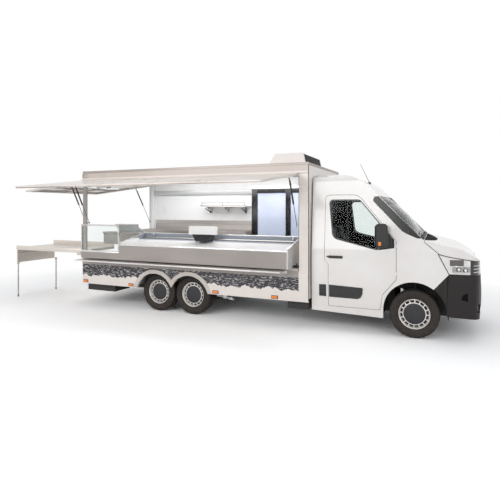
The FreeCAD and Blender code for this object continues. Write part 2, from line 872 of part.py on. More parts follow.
CAB_MOUNT_PLACES = (S.cab_rear + S.cab_wall * 3, S.firewall_rear - S.cab_wall * 3)
for index, place in enumerate(CAB_MOUNT_PLACES):
    pad = block(f"cab_pad_{index}", (place, place + S.cab_mount), (-rail_outer, -S.rail_inner),
                (S.rail_top - S.rail_wall, S.floor_underside - S.running_clearance))
    frame_pieces += [pad, mirrored(f"cab_pad_left_{index}", pad)]
part("chassis_frame", fuse("chassis", *frame_pieces))

engine_bottom = S.rail_top - S.rail_cross_length * 0.6 + S.running_clearance
engine = block("engine", (S.engine_rear, S.engine_front), (-S.engine_half, S.engine_half),
               (engine_bottom, S.engine_top))
part("engine_block", engine)


# Cab: one outer form, given by its side, front and plan outlines, that every cab panel is cut from


def cab_form(name, inset):
    """The cab's solid form, with every outline moved inwards by the inset."""
    side = slab(name + "_side", "XZ", [
        (S.cab_rear + inset, S.cab_bottom + inset),
        (S.chin - inset, S.chin_height + inset, S.cab_wall * 2),
        (S.nose_front - inset, S.nose_front_height, S.cab_top_half),
        (S.nose_top - inset, S.nose_top_height - inset * 0.6, S.cab_wall * 2),
        (S.hood_corner - inset * 0.3, hood_corner_height - inset, S.cab_half / 2),
        (S.windscreen_foot - inset * 0.53, S.windscreen_foot_height - inset * 0.9, S.screen_round),
        (S.roof_corner - inset * 0.43, S.cab_top - inset, S.roof_bend),
        (S.cab_rear + inset, S.cab_top - inset),
    ], -S.cab_half - S.overrun, S.cab_half + S.overrun)
    low = S.cab_bottom - S.cab_wall * 2
    front = slab(name + "_front", "YZ", [
        (-S.cab_sill_half + inset, low),
        (S.cab_sill_half - inset, low),
        (S.cab_half - inset, S.beltline * 0.6, S.beltline),
        (S.cab_half - inset, S.beltline, S.beltline / 2),
        (S.cab_top_half - inset, S.cab_roof_edge - inset * 0.5, S.cab_wall * 1.5),
        (S.cab_top_half * 0.5, S.cab_top - inset, S.cab_half),
        (-S.cab_top_half * 0.5, S.cab_top - inset, S.cab_half),
        (-S.cab_top_half + inset, S.cab_roof_edge - inset * 0.5, S.cab_wall * 1.5),
        (-S.cab_half + inset, S.beltline, S.beltline / 2),
        (-S.cab_half + inset, S.beltline * 0.6, S.beltline),
    ], S.cab_rear - S.overrun, S.nose_front + S.overrun)
    plan = slab(name + "_plan", "XY", [
        (S.cab_rear - S.overrun, -S.cab_half + inset),
        (S.cheek, -S.cab_half + inset, S.cab_half),
        (S.nose_corner - inset, -S.nose_corner_half + inset * 0.4, S.cab_wall * 4),
        (S.nose_front - inset, -S.nose_half, S.cab_half),
        (S.nose_front - inset, S.nose_half, S.cab_half),
        (S.nose_corner - inset, S.nose_corner_half - inset * 0.4, S.cab_wall * 4),
        (S.cheek, S.cab_half - inset, S.cab_half),
        (S.cab_rear - S.overrun, S.cab_half - inset),
    ], low, S.cab_top + S.overrun)
    return common(name, side, front, plan)


def cab_skin(name, outer_inset, wall):
    """A skin of the cab's form, from an inset, one wall thick."""
    return cut(name, cab_form(name + "_outer", outer_inset), cab_form(name + "_inner", outer_inset + wall))


def across(name, corners):
    """An outline in side view, carried across the whole truck."""
    reach = S.cab_half * 2
    return slab(name, "XZ", corners, -reach, reach)


def right_side(name, corners):
    """An outline in side view, carried from the cab's middle out past its right side."""
    return slab(name, "XZ", corners, -S.cab_half * 2, -S.cab_half / 2)


def door_outline(gap):
    """The door's edge, with a gap taken off all round."""
    return [
        (S.door_rear + gap, S.door_top - gap, S.window_corner),
        (S.door_pillar_top - gap * 0.4, S.door_top - gap, S.window_corner * 3),
        (S.door_front - gap, S.door_front_top - gap * 0.4, S.window_corner / 2),
        (S.door_front - gap, S.door_front_low + gap * 0.4, S.window_corner),
        (S.door_arch_top - gap * 0.6, S.door_arch_height + gap * 0.6, S.window_corner * 2),
        (S.door_foot - gap, S.door_bottom + gap, S.window_corner / 2),
        (S.door_rear_low + gap, S.door_bottom + gap, S.window_corner / 2),
        (S.door_rear_low + gap, S.door_step_height - S.door_step),
        (S.door_rear + gap, S.door_step_height + S.door_step),
    ]


def window_outline(gap):
    """The window's edge in the door, with a gap taken off all round."""
    return [
        (S.window_rear + gap, S.window_top - gap, S.window_corner),
        (S.window_pillar_top - gap * 0.4, S.window_top - gap, S.window_corner * 1.5),
        (S.window_front - gap, S.window_front_top - gap * 0.4, S.window_corner / 2),
        (S.window_front - gap, S.window_front_low + gap, S.window_corner / 4),
        (S.window_low, S.window_low_height + gap, S.window_corner * 2),
        (S.window_rear_low + gap, S.window_sill_height + gap, S.window_corner * 2),
    ]


def screen_outline(gap):
    """The windscreen's edge in front view, with a gap taken off all round."""
    return [
        (-S.screen_half_bottom + gap, screen_bottom + gap, S.screen_round),
        (S.screen_half_bottom - gap, screen_bottom + gap, S.screen_round),
        (S.screen_half_top - gap, S.screen_top - gap, S.screen_round),
        (-S.screen_half_top + gap, S.screen_top - gap, S.screen_round),
    ]


far_up = S.cab_top + S.overrun
far_front = S.nose_front + S.overrun * 4
hood_region = [
    (S.hood_line_rear, far_up),
    (S.hood_line_rear, hood_line_rear_height),
    (S.hood_line_bend, hood_line_bend_height),
    (S.hood_line_lamp, hood_line_lamp_height),
    (far_front, hood_line_front_height),
    (far_front, far_up),
]
hood_region_inner = [
    (S.hood_line_rear + S.shut_gap, far_up),
    (S.hood_line_rear + S.shut_gap, hood_line_rear_height + S.shut_gap),
    (S.hood_line_bend + S.shut_gap, hood_line_bend_height + S.shut_gap),
    (S.hood_line_lamp, hood_line_lamp_height + S.shut_gap),
    (far_front, hood_line_front_height + S.shut_gap),
    (far_front, far_up),
]
nose_region = [
    (S.bumper_split_rear, 0),
    (S.bumper_split_rear, S.bumper_split_rear_height),
    (S.bumper_split_lamp, S.bumper_split_lamp_height),
    (S.lamp_rear_top, hood_line_bend_height + S.overrun * 0.4),
    (S.hood_line_bend, hood_line_bend_height),
    (S.hood_line_lamp, hood_line_lamp_height),
    (far_front, hood_line_front_height),
    (far_front, 0),
]
bumper_region = [
    (S.bumper_split_rear, 0),
    (S.bumper_split_rear, S.bumper_split_rear_height),
    (S.bumper_split_lamp, S.bumper_split_lamp_height),
    (far_front, S.bumper_split_lamp_height - S.overrun),
    (far_front, 0),
]
lamp_region = [
    (S.bumper_split_lamp + S.running_clearance, S.bumper_split_lamp_height + S.running_clearance),
    (S.lamp_rear_top + S.overrun * 0.2 + S.running_clearance, hood_line_bend_height),
    (S.hood_line_bend, hood_line_bend_height - S.running_clearance),
    (S.hood_line_lamp, hood_line_lamp_height),
    (far_front, hood_line_front_height),
    (far_front, S.bumper_split_lamp_height - S.overrun + S.running_clearance),
]

cab_hollow = cut("cab_hollow", cab_form("cab_inside", S.cab_wall),
                 block("firewall", (S.firewall_rear, S.firewall_front), (-S.cab_half, S.cab_half),
                       (0, S.windscreen_foot_height - S.cab_wall * 2)))
arch_low = S.chin_height - S.overrun * 4
arch_cut = fuse("arch_cut",
                rod("arch_drum", "y", S.arch_radius, S.cab_half - S.arch_inner + S.overrun,
                    (0, -S.cab_half - S.overrun, S.arch_centre_height)),
                block("arch_foot", (-S.arch_radius, S.arch_radius), (-S.cab_half - S.overrun, -S.arch_inner),
                      (arch_low, S.arch_centre_height)),
                rod("arch_liner_drum", "y", liner_outer + S.running_clearance,
                    S.cab_half - S.cab_wall - S.arch_inner,
                    (0, -S.cab_half + S.cab_wall, S.arch_centre_height)))
arch_cut_left = mirrored("arch_cut_left", arch_cut)
bay_opening = fuse("bay_opening",
                   block("floor_channel", (S.cab_rear - S.overrun, S.arch_radius),
                         (-S.floor_half, S.floor_half), (0, S.floor_underside)),
                   block("bay_hole", (S.firewall_front, S.rail_front + S.overrun),
                         (-S.arch_inner - S.cab_wall * 1.2, S.arch_inner + S.cab_wall * 1.2),
                         (0, S.cab_bottom + S.cab_wall * 2)))
screen_hole = slab("screen_hole", "YZ", screen_outline(0),
                   S.roof_corner + S.screen_reach, S.windscreen_foot + S.overrun * 4)
door_hinge_y = -S.cab_half + S.door_hinge_inset
hinge_knuckles, hinge_notches = [], []
for index, height in enumerate((S.door_hinge_low, S.door_hinge_high)):
    hinge_notches.append(rod(f"door_hinge_notch_{index}", "z", S.hinge_radius + S.hinge_gap,
                             S.door_hinge_length + S.shut_gap * 2,
                             (S.door_hinge_x, door_hinge_y, height - S.shut_gap)))
    hinge_knuckles += [
        rod(f"door_hinge_{index}", "z", S.hinge_radius, S.door_hinge_length, (S.door_hinge_x, door_hinge_y, height)),
        block(f"door_hinge_leaf_{index}", (S.door_hinge_x - S.overrun, S.door_hinge_x),
              (door_hinge_y - S.door_hinge_inset, door_hinge_y + S.door_hinge_inset),
              (height, height + S.door_hinge_length)),
    ]
hood_knuckle = rod("hood_hinge", "y", S.hood_hinge_radius, S.door_hinge_length,
                   (S.hood_hinge_x, -S.hood_hinge_half, hood_hinge_height))
hood_notch = rod("hood_hinge_notch", "y", S.hood_hinge_radius + S.hinge_gap,
                 S.door_hinge_length + S.shut_gap * 2,
                 (S.hood_hinge_x, -S.hood_hinge_half - S.shut_gap, hood_hinge_height))
door_hole = right_side("door_hole", door_outline(0))
cab_opened = cut("cab_opened", cab_form("cab_outside", 0), cab_hollow, bay_opening, screen_hole,
                 door_hole, mirrored("door_hole_left", door_hole), across("hood_hole", hood_region),
                 across("nose_hole", nose_region), hood_notch, mirrored("hood_notch_left", hood_notch),
                 *hinge_notches, *(mirrored(f"hinge_notch_left_{index}", notch)
                                   for index, notch in enumerate(hinge_notches)))
cab_floor = block("cab_floor", (S.cab_rear + S.cab_wall / 2, S.firewall_rear / 2), (-S.floor_half, S.floor_half),
                  (S.floor_underside, S.floor_underside + S.cab_floor))
cab_shell = cut("cab_shell", fuse("cab_floored", cab_opened, cab_floor), arch_cut, arch_cut_left)
part("cab_shell", cab_shell)

windscreen = common("windscreen", cab_skin("screen_skin", S.glass_recess, S.glass),
                    slab("screen_glass_region", "YZ", screen_outline(S.glass_gap),
                         S.roof_corner + S.screen_reach, S.windscreen_foot + S.overrun * 4))
part("windscreen", windscreen)

# Doors: the cab's own skin within the door's outline, with the window cut through
thick_skin = cab_skin("thick_skin", 0, S.cab_wall)
door_panel = cut("door_panel",
                 common("door_skin", thick_skin, right_side("door_region", door_outline(S.shut_gap))),
                 right_side("window_hole", window_outline(0)))
door = fuse("door", door_panel, *hinge_knuckles)
part("door_right", door)
part("door_left", mirrored("door_mirror", door))
sail_cut = block("sail_cut", (S.sail_rear - S.shut_gap, 0), (-S.cab_half * 2, 0), (0, S.cab_top))
door_glass = cut("door_glass",
                 common("door_glass_skin", cab_skin("side_glass_skin", S.glass_recess, S.glass),
                        right_side("glass_region", window_outline(S.glass_gap))), sail_cut)
part("door_glass_right", door_glass)
part("door_glass_left", mirrored("door_glass_mirror", door_glass))

# Mirrors: a sail panel in the window's front corner, and a housing on a short arm
sail = common("sail", cab_skin("sail_skin", S.glass_recess, S.sail_wall),
              right_side("sail_region", window_outline(S.glass_gap)),
              block("sail_box", (S.sail_rear, 0), (-S.cab_half * 2, 0), (0, S.cab_top)))
mirror_inner = -S.cab_half - S.mirror_stand_off
mirror_outer = mirror_inner - S.mirror_width
housing = slab("mirror_housing", "YZ", [
    (mirror_outer, S.mirror_bottom, S.mirror_stand_off),
    (mirror_inner, S.mirror_bottom, S.mirror_stand_off),
    (mirror_inner, S.mirror_bottom + S.mirror_height, S.mirror_stand_off * 0.8),
    (mirror_outer, S.mirror_bottom + S.mirror_height, S.mirror_stand_off * 0.8),
], S.mirror_front - S.mirror_depth, S.mirror_front)
mirror_arm_high = S.mirror_bottom + S.mirror_stand_off * 1.6
mirror_arm = slab("mirror_arm", "YZ", [
    (mirror_inner - S.mirror_stand_off, mirror_arm_high - S.mirror_stand_off / 2),
    (-S.cab_half + S.glass_recess * 3, mirror_arm_high - S.mirror_stand_off),
    (-S.cab_half + S.glass_recess * 3, mirror_arm_high),
    (mirror_inner - S.mirror_stand_off, mirror_arm_high),
], S.mirror_front - S.mirror_depth * 0.8, S.mirror_front - S.mirror_depth * 0.2)
mirror = fuse("mirror", sail, housing, mirror_arm)
part("mirror_right", mirror)
part("mirror_left", mirrored("mirror_mirror", mirror))

# Bonnet, bumper, grille and lamps: the same skin within their regions
hood = fuse("hood",
            common("hood_panel", cab_skin("hood_skin", 0, S.panel_wall),
                   across("hood_panel_region", hood_region_inner)),
            hood_knuckle, mirrored("hood_hinge_left", hood_knuckle))
part("hood", hood)

grille_inner_x = S.nose_front - S.cab_wall * 2
grille_box = block("grille_box", (S.bumper_split_lamp, far_front), (-S.grille_half, S.grille_half),
                   (S.grille_bottom, hood_line_rear_height))
nose_skin = common("nose_skin", thick_skin, across("bumper_zone", bumper_region))
fog_recess = block("fog_recess", (S.nose_corner - S.fog_depth * 2, far_front),
                   (-S.fog_outer_half, -S.fog_half), (S.fog_bottom, S.fog_top))
intake = block("intake", (S.nose_front - S.cab_wall / 2, far_front), (-S.intake_half, S.intake_half),
               (S.intake_bottom, S.intake_top))
tow_bore = rod("tow_bore", "x", S.tow_bore_radius, S.cab_wall * 2,
               (S.nose_front - S.cab_wall * 1.5, -S.tow_bore_side, S.tow_bore_height))
bumper = cut("bumper", nose_skin, grille_box, arch_cut, arch_cut_left, bay_opening,
             fog_recess, mirrored("fog_recess_left", fog_recess), intake, tow_bore)
part("front_bumper", bumper)

grille_zone = block("grille_zone", (S.bumper_split_lamp + S.overrun, far_front),
                    (-S.grille_half + S.running_clearance, S.grille_half - S.running_clearance),
                    (S.grille_bottom + S.running_clearance, hood_line_rear_height))
grille_shape = common("grille_shape", cab_skin("grille_skin", 0, S.grille_depth), grille_zone,
                      across("grille_below_hood", [
                          (S.bumper_split_lamp, 0),
                          (S.bumper_split_lamp, hood_line_lamp_height),
                          (far_front, hood_line_front_height),
                          (far_front, 0),
                      ]))
slots = []
SLOT_ROWS = 5
for row in range(SLOT_ROWS):
    slot_low = S.grille_bottom + S.grille_bar * 1.6 + (S.grille_bar + S.grille_gap) * row
    slots.append(block(f"grille_slot_{row}", (S.nose_top - S.cab_wall * 2, far_front),
                       (-S.grille_half + S.grille_bar * 1.5, S.grille_half - S.grille_bar * 1.5),
                       (slot_low, slot_low + S.grille_gap)))
part("front_grille", cut("grille", grille_shape, *slots))

lamp_box = block("lamp_box", (S.lamp_rear_top - S.overrun, far_front), (-S.cab_half * 2, -S.lamp_inner_half),
                 (0, S.cab_top))
lamp = common("lamp", thick_skin, across("lamp_zone", lamp_region), lamp_box)
part("headlamps", both_sides("lamps", lamp))

# Seats and dashboard
seat_foot = S.floor_underside + S.cab_floor + S.running_clearance
seat_profile = [
    (S.seat_back_rear + S.cab_wall, seat_foot),
    (S.seat_front - S.cab_wall, seat_foot),
    (S.seat_front, S.seat_base_height, S.seat_cushion * 0.4),
    (S.seat_front - S.seat_length, S.seat_base_height - S.seat_cushion * 0.3),
    (S.seat_back_rear + S.seat_cushion, S.seat_back_height, S.seat_cushion * 0.4),
    (S.seat_back_rear, S.seat_back_height, S.seat_cushion * 0.4),
]
driver_seat = slab("driver_seat", "XZ", seat_profile, S.driver_seat_middle - S.driver_seat_half,
                   S.driver_seat_middle + S.driver_seat_half)
bench_seat = slab("bench_seat", "XZ", seat_profile, S.bench_middle - S.bench_half, S.bench_middle + S.bench_half)
part("cab_seats", [driver_seat, bench_seat])

dash_rear_face = S.firewall_rear - S.running_clearance
dashboard = slab("dashboard_profile", "XZ", [
    (dash_rear_face, S.dash_bottom),
    (dash_rear_face, S.dash_top),
    (S.dash_rear + S.cab_wall, S.dash_top, S.cab_wall),
    (S.dash_rear, S.dash_top - S.cab_wall * 2, S.cab_wall / 2),
    (S.dash_rear + S.cab_wall, S.dash_bottom),
], -S.dash_half, S.dash_half)
column = doc.addObject("Part::Cylinder", "steering_column")
bind(column, "Radius", S.column_radius)
bind(column, "Height", S.column_length)
wheel_x = S.dash_rear - S.column_length * 0.35
wheel_z = S.dash_top - S.cab_wall * 0.5
settle(column, (wheel_x, S.driver_seat_middle, wheel_z), (0, 180 - S.column_tilt, 0))
steering_ring = doc.addObject("Part::Torus", "steering_ring")
bind(steering_ring, "Radius1", S.wheel_rim_radius)
bind(steering_ring, "Radius2", S.wheel_rim_round)
settle(steering_ring, (wheel_x, S.driver_seat_middle, wheel_z), (0, 180 - S.column_tilt, 0))
spoke = doc.addObject("Part::Box", "steering_spoke")
bind(spoke, "Length", S.column_radius * 2)
bind(spoke, "Width", S.wheel_rim_radius * 2)
bind(spoke, "Height", S.wheel_rim_round)
settle(spoke, (wheel_x - S.column_radius * cosine(180 - S.column_tilt), S.driver_seat_middle - S.wheel_rim_radius,
               wheel_z + S.column_radius * sine(180 - S.column_tilt)), (0, 180 - S.column_tilt, 0))
part("dashboard", fuse("dashboard", dashboard, column, steering_ring, spoke))

# Sales body: flat sandwich panels held by corner posts and a fascia frame
body_inner_half = S.body_half - S.body_wall


def arches(name, y_low, y_high, radius):
    """The two joined wheel openings of one side wall."""
    drums = []
    for index, axle_x in enumerate((S.first_rear_axle, S.second_rear_axle)):
        drums.append(rod(f"{name}_drum_{index}", "y", radius, y_high - y_low,
                         (axle_x, y_low, S.body_arch_height)))
    return fuse(name, *drums)


side_panel = cut("side_panel", block("side_sheet", (S.body_rear, S.body_front), (-S.body_half, -body_inner_half),
                                     (S.skirt_bottom, S.sill_height)),
                 arches("side_arches", -S.body_half - S.overrun, -body_inner_half + S.overrun,
                        S.body_arch_radius))
trim_outer = S.body_arch_radius + S.arch_trim
arch_trim = cut("arch_trim", arches("trim_outer", -S.body_half - S.arch_trim_wall, -S.body_half, trim_outer),
                arches("trim_inner", -S.body_half - S.overrun, -S.body_half + S.overrun, S.body_arch_radius),
                block("trim_below", (S.second_rear_axle * 2, 0), (-S.body_half * 2, 0),
                      (-S.body_arch_radius, S.skirt_bottom)))
sill_strip = block("sill_strip", (S.body_rear, S.body_front), (-S.body_half - S.sill_strip_proud, -S.body_half),
                   (S.sill_strip_bottom, S.sill_strip_top))
part("side_panel", fuse("side_panel_trimmed", side_panel, arch_trim, sill_strip))

left_wall = cut("left_wall", block("left_sheet", (S.body_rear, S.body_front), (body_inner_half, S.body_half),
                                   (S.skirt_bottom, S.body_top - S.body_wall)),
                arches("left_arches", body_inner_half - S.overrun, S.body_half + S.overrun, S.body_arch_radius))
strut_foot_x = S.body_rear + S.rear_strut_foot_in
bracket_reach = S.body_half - S.rear_flap_half + S.flap_frame / 2 - S.strut_plate / 2 - S.hinge_gap
rear_bracket = block("rear_bracket_left", (strut_foot_x - S.strut_bracket / 2, strut_foot_x + S.strut_bracket / 2),
                     (S.body_half - bracket_reach, S.body_half),
                     (S.rear_strut_foot - S.strut_bracket / 2, S.rear_strut_foot + S.strut_bracket / 2))
part("left_wall", fuse("left_wall_bracketed", left_wall, rear_bracket))
part("front_wall", block("front_wall", (S.body_front - S.body_wall, S.body_front),
                         (-body_inner_half, body_inner_half),
                         (S.floor_top - S.floor_depth, S.body_top - S.body_wall)))
part("rear_panel", block("rear_panel", (S.body_rear, S.body_rear + S.body_wall),
                         (-body_inner_half, body_inner_half), (S.skirt_bottom, S.rear_sill_height)))

box_rear_end = S.second_rear_axle - S.tyre_radius - S.wheel_box_clearance
box_front_end = S.first_rear_axle + S.tyre_radius + S.wheel_box_clearance
floor_low = S.floor_top - S.floor_depth
floor_plate = block("floor_plate", (S.body_rear + S.body_wall, S.body_front - S.body_wall),
                    (-body_inner_half, body_inner_half), (floor_low, S.floor_top))
wheel_box = block("wheel_box", (box_rear_end, box_front_end), (-body_inner_half, -S.wheel_box_inner),
                  (floor_low, S.wheel_box_top))
wheel_void = block("wheel_void", (box_rear_end + S.wheel_box_wall, box_front_end - S.wheel_box_wall),
                   (-S.body_half, -S.wheel_box_inner - S.wheel_box_wall),
                   (0, S.wheel_box_top - S.wheel_box_wall))
floor_beam = block("floor_beam", (S.rail_rear, S.body_front - S.body_wall),
                   (-rail_outer, -S.rail_inner), (S.rail_top + S.running_clearance, floor_low))
body_floor = cut("body_floor", fuse("floor_boxes", floor_plate, wheel_box, mirrored("wheel_box_left", wheel_box),
                                    floor_beam, mirrored("floor_beam_left", floor_beam)),
                 wheel_void, mirrored("wheel_void_left", wheel_void))
part("body_floor", body_floor)

roof = slab("roof_sheet", "YZ", [
    (-S.body_half, S.body_top - S.body_wall),
    (S.body_half, S.body_top - S.body_wall),
    (S.body_half, S.body_top, S.body_wall / 2),
    (-S.body_half, S.body_top, S.body_wall / 2),
], S.body_rear, S.body_front)
part("roof", roof)

# Posts and fascia in one frame: the right side and the rear stand open between them
roof_low = S.body_top - S.body_wall
post_top = roof_low
fascia_right = block("fascia_right", (S.body_rear, S.body_front), (-S.body_half, -body_inner_half),
                     (S.head_height, roof_low))
fascia_rear = block("fascia_rear", (S.body_rear, S.body_rear + S.body_wall), (-S.body_half, body_inner_half),
                    (S.head_height, roof_low))
front_post = block("front_post", (S.body_front - S.front_post, S.body_front - S.body_wall),
                   (-S.body_half, -body_inner_half), (S.sill_height, S.head_height))
front_post_return = block("front_post_return", (S.body_front - S.body_wall, S.body_front),
                          (-S.body_half, -body_inner_half), (S.sill_height, S.head_height))
rear_post = slab("rear_post", "XY", [
    (S.body_rear, -S.body_half, S.post_wall / 2),
    (S.body_rear + S.rear_post, -S.body_half),
    (S.body_rear + S.rear_post, -S.body_half + S.post_wall),
    (S.body_rear, -S.body_half + S.post_wall),
], S.sill_height, S.head_height)
sill_rail = block("sill_rail", (S.body_rear, S.body_front), (-S.body_half, -S.body_half + S.post_wall),
                  (S.sill_height, S.counter_bottom - S.running_clearance))
hinge_rail_low = S.flap_hinge_height + S.hinge_radius + S.hinge_gap
rail_reach = S.flap_stand_off + S.flap_wall + S.hinge_radius
hinge_rail_side = block("hinge_rail_side", (S.body_rear, S.body_front),
                        (-S.body_half - rail_reach, -S.body_half), (hinge_rail_low, hinge_rail_low + S.hinge_rail))
hinge_rail_rear = block("hinge_rail_rear", (S.body_rear - rail_reach, S.body_rear),
                        (-S.body_half, S.body_half), (hinge_rail_low, hinge_rail_low + S.hinge_rail))
strut_station_in = S.flap_frame / 2
eye_half = S.strut_plate / 2 + S.hinge_gap
side_foot_y = -S.body_half + S.side_strut_foot_in
side_bracket_y = (side_foot_y - S.strut_bracket / 2, side_foot_y + S.strut_bracket / 2)
side_bracket_z = (S.side_strut_foot - S.strut_bracket / 2, S.side_strut_foot + S.strut_bracket / 2)
front_bracket = block("front_bracket", (S.side_flap_front - strut_station_in + eye_half, S.body_front - S.body_wall),
                      side_bracket_y, side_bracket_z)
rear_side_bracket = block("rear_side_bracket", (S.body_rear, S.side_flap_rear + strut_station_in - eye_half),
                          side_bracket_y, side_bracket_z)
rear_bracket_right = mirrored("rear_bracket_right", rear_bracket)
body_frame = fuse("body_frame", fascia_right, fascia_rear, front_post, front_post_return, rear_post, sill_rail,
                  hinge_rail_side, hinge_rail_rear, front_bracket, rear_side_bracket, rear_bracket_right)
part("body_frame", body_frame)

# Refrigeration unit on the roof's front edge: a moulded cover with a round grille
cooler_front = S.cooler_rear + S.cooler_length
cooler = doc.addObject("PartDesign::Body", "cooler")
cooler_sketch = cooler.newObject("Sketcher::SketchObject", "cooler_profile")
cooler_sketch.AttachmentSupport = [(plane_of(cooler, "XZ_Plane"), "")]
cooler_sketch.MapMode = "FlatFace"
draw(cooler_sketch, [
    (S.cooler_rear, S.body_top + S.running_clearance),
    (cooler_front, S.body_top + S.running_clearance),
    (cooler_front - S.cooler_slope / 3, S.body_top + S.cooler_height, S.cooler_round),
    (S.cooler_rear + S.cooler_slope, S.body_top + S.cooler_height, S.cooler_round * 2),
])
cooler_pad = cooler.newObject("PartDesign::Pad", "cooler_pad")
cooler_pad.Profile = cooler_sketch
cooler_pad.Midplane = True
bind(cooler_pad, "Length", S.cooler_half * 2)
part("roof_cooler", cooler)


# Flaps: a framed panel with cross bars, drawn lying from its hinge line and then turned about it


def flap(name, length, width, bars):
    """A flap of a length along its hinge, reaching out by its width, skin first."""
    body = doc.addObject("PartDesign::Body", name)
    plate_sketch = body.newObject("Sketcher::SketchObject", name + "_plate_sketch")
    plate_sketch.AttachmentSupport = [(plane_of(body, "XY_Plane"), "")]
    plate_sketch.MapMode = "FlatFace"
    draw(plate_sketch, [(0, 0), (length, 0), (length, width), (0, width)])
    plate = body.newObject("PartDesign::Pad", name + "_plate")
    plate.Profile = plate_sketch
    bind(plate, "Length", S.flap_wall)
    pocket_sketch = body.newObject("Sketcher::SketchObject", name + "_field_sketch")
    pocket_sketch.AttachmentSupport = [(plane_of(body, "XY_Plane"), "")]
    pocket_sketch.MapMode = "FlatFace"
    bind(pocket_sketch, "AttachmentOffset.Base.z", S.flap_skin)
    field = (length - S.flap_frame * (bars + 1)) / bars
    for bar in range(bars):
        start = S.flap_frame + (field + S.flap_frame) * bar
        draw(pocket_sketch, [
            (start, S.flap_frame),
            (start + field, S.flap_frame),
            (start + field, width - S.flap_frame),
            (start, width - S.flap_frame),
        ])
    pocket = body.newObject("PartDesign::Pocket", name + "_fields")
    pocket.Profile = pocket_sketch
    pocket.Reversed = True
    bind(pocket, "Length", S.flap_wall)
    return body


side_hinge_y = -(S.body_half + S.flap_stand_off + S.flap_wall)
side_flap = flap("side_flap", S.side_flap_front - S.side_flap_rear, S.side_flap_width, 4)
side_place = (S.side_flap_rear, side_hinge_y, S.flap_hinge_height)
side_turn = (0, 0, 180 + S.side_flap_open)
rear_hinge_x = S.body_rear - S.flap_stand_off - S.flap_wall
rear_flap = flap("rear_flap", S.rear_flap_half * 2, S.rear_flap_width, 2)
rear_place = (rear_hinge_x, S.rear_flap_half, S.flap_hinge_height)
rear_turn = (-90, 0, 180 + S.rear_flap_open)


# Gas struts: drawn along Z from the pin in the flap, the rod below


def strut_line(seat, foot_out, foot_up, open_angle):
    """Where the struts' heads are from the hinge line, outwards and upwards, and their span and lean.

    seat is the place of the head's pin along the flap; foot_out and foot_up are the foot pin's place.
    """
    pin_down = S.flap_wall + S.strut_lug / 2
    head_out = seat * cosine(open_angle) - pin_down * sine(open_angle)
    head_up = -(seat * sine(open_angle)) - pin_down * cosine(open_angle)
    run = head_out - foot_out
    rise = head_up - foot_up
    span = root(run * run + rise * rise)
    lean = bearing(run, rise)
    return head_out, head_up, span, lean


side_strut = strut_line(S.side_strut_seat, -(S.flap_stand_off + S.flap_wall + S.side_strut_foot_in),
                        S.side_strut_foot - S.flap_hinge_height, S.side_flap_open)
rear_strut = strut_line(S.rear_strut_seat, -(S.flap_stand_off + S.flap_wall + S.rear_strut_foot_in),
                        S.rear_strut_foot - S.flap_hinge_height, S.rear_flap_open)


def strut_solids(name, span, stations):
    """The cylinders and rods of a pair, with the heads' pins at the origin and the struts along -Z."""
    cylinders, rods = [], []
    for index, station in enumerate(stations):
        eye = rod(f"{name}_eye_{index}", "x", S.strut_eye, S.strut_plate, (station - S.strut_plate / 2, 0, 0))
        neck = block(f"{name}_neck_{index}", (station - S.strut_plate / 2, station + S.strut_plate / 2),
                     (-S.strut_eye / 2, S.strut_eye / 2), (-S.strut_neck, 0))
        tube = rod(f"{name}_tube_{index}", "z", S.strut_cylinder_radius,
                   S.strut_cylinder_length - S.strut_neck + S.strut_eye / 2, (station, 0, -S.strut_cylinder_length))
        bore = rod(f"{name}_bore_{index}", "z", S.strut_rod_radius + S.running_clearance,
                   S.strut_cylinder_length - S.strut_neck - S.strut_eye / 2 + S.overrun,
                   (station, 0, -S.strut_cylinder_length - S.overrun))
        pin_bore = rod(f"{name}_pin_bore_{index}", "x", S.strut_pin + S.running_clearance, S.strut_plate * 4,
                       (station - S.strut_plate * 2, 0, 0))
        cylinders.append(cut(f"{name}_cylinder_{index}", fuse(f"{name}_barrel_{index}", eye, neck, tube),
                             bore, pin_bore))
        stem = rod(f"{name}_stem_{index}", "z", S.strut_rod_radius,
                   span - S.strut_cylinder_length + S.strut_overlap, (station, 0, -span))
        foot = rod(f"{name}_foot_{index}", "x", S.strut_eye, S.strut_plate,
                   (station - S.strut_plate / 2, 0, -span))
        rods.append(fuse(f"{name}_rod_{index}", stem, foot))
    return cylinders, rods


def flap_with_lugs(name, body, length, seat, stations):
    """The flap with its hinge barrel, and a lug and a pin for each strut."""
    pieces = [body, rod(f"{name}_barrel", "x", S.hinge_radius, length, (0, 0, 0))]
    for index, (station, inward) in enumerate(stations):
        plate_near = station + inward * (S.strut_plate / 2 + S.running_clearance)
        low, high = sorted((plate_near, plate_near + inward * S.strut_plate), key=float)
        pieces.append(block(f"{name}_lug_{index}", (low, high), (seat - S.strut_eye, seat + S.strut_eye),
                            (S.flap_wall, S.flap_wall + S.strut_lug / 2 + S.strut_eye)))
        pin_start = station - S.strut_plate / 2 if inward > 0 else low
        pieces.append(rod(f"{name}_pin_{index}", "x", S.strut_pin, S.strut_plate * 2 + S.running_clearance,
                          (pin_start, seat, S.flap_wall + S.strut_lug / 2)))
        pieces.append(block(f"{name}_lug_pad_{index}",
                            (station - S.flap_frame / 2, station + S.flap_frame / 2),
                            (0, seat + S.flap_frame), (0, S.flap_wall)))
    return fuse(name, *pieces)


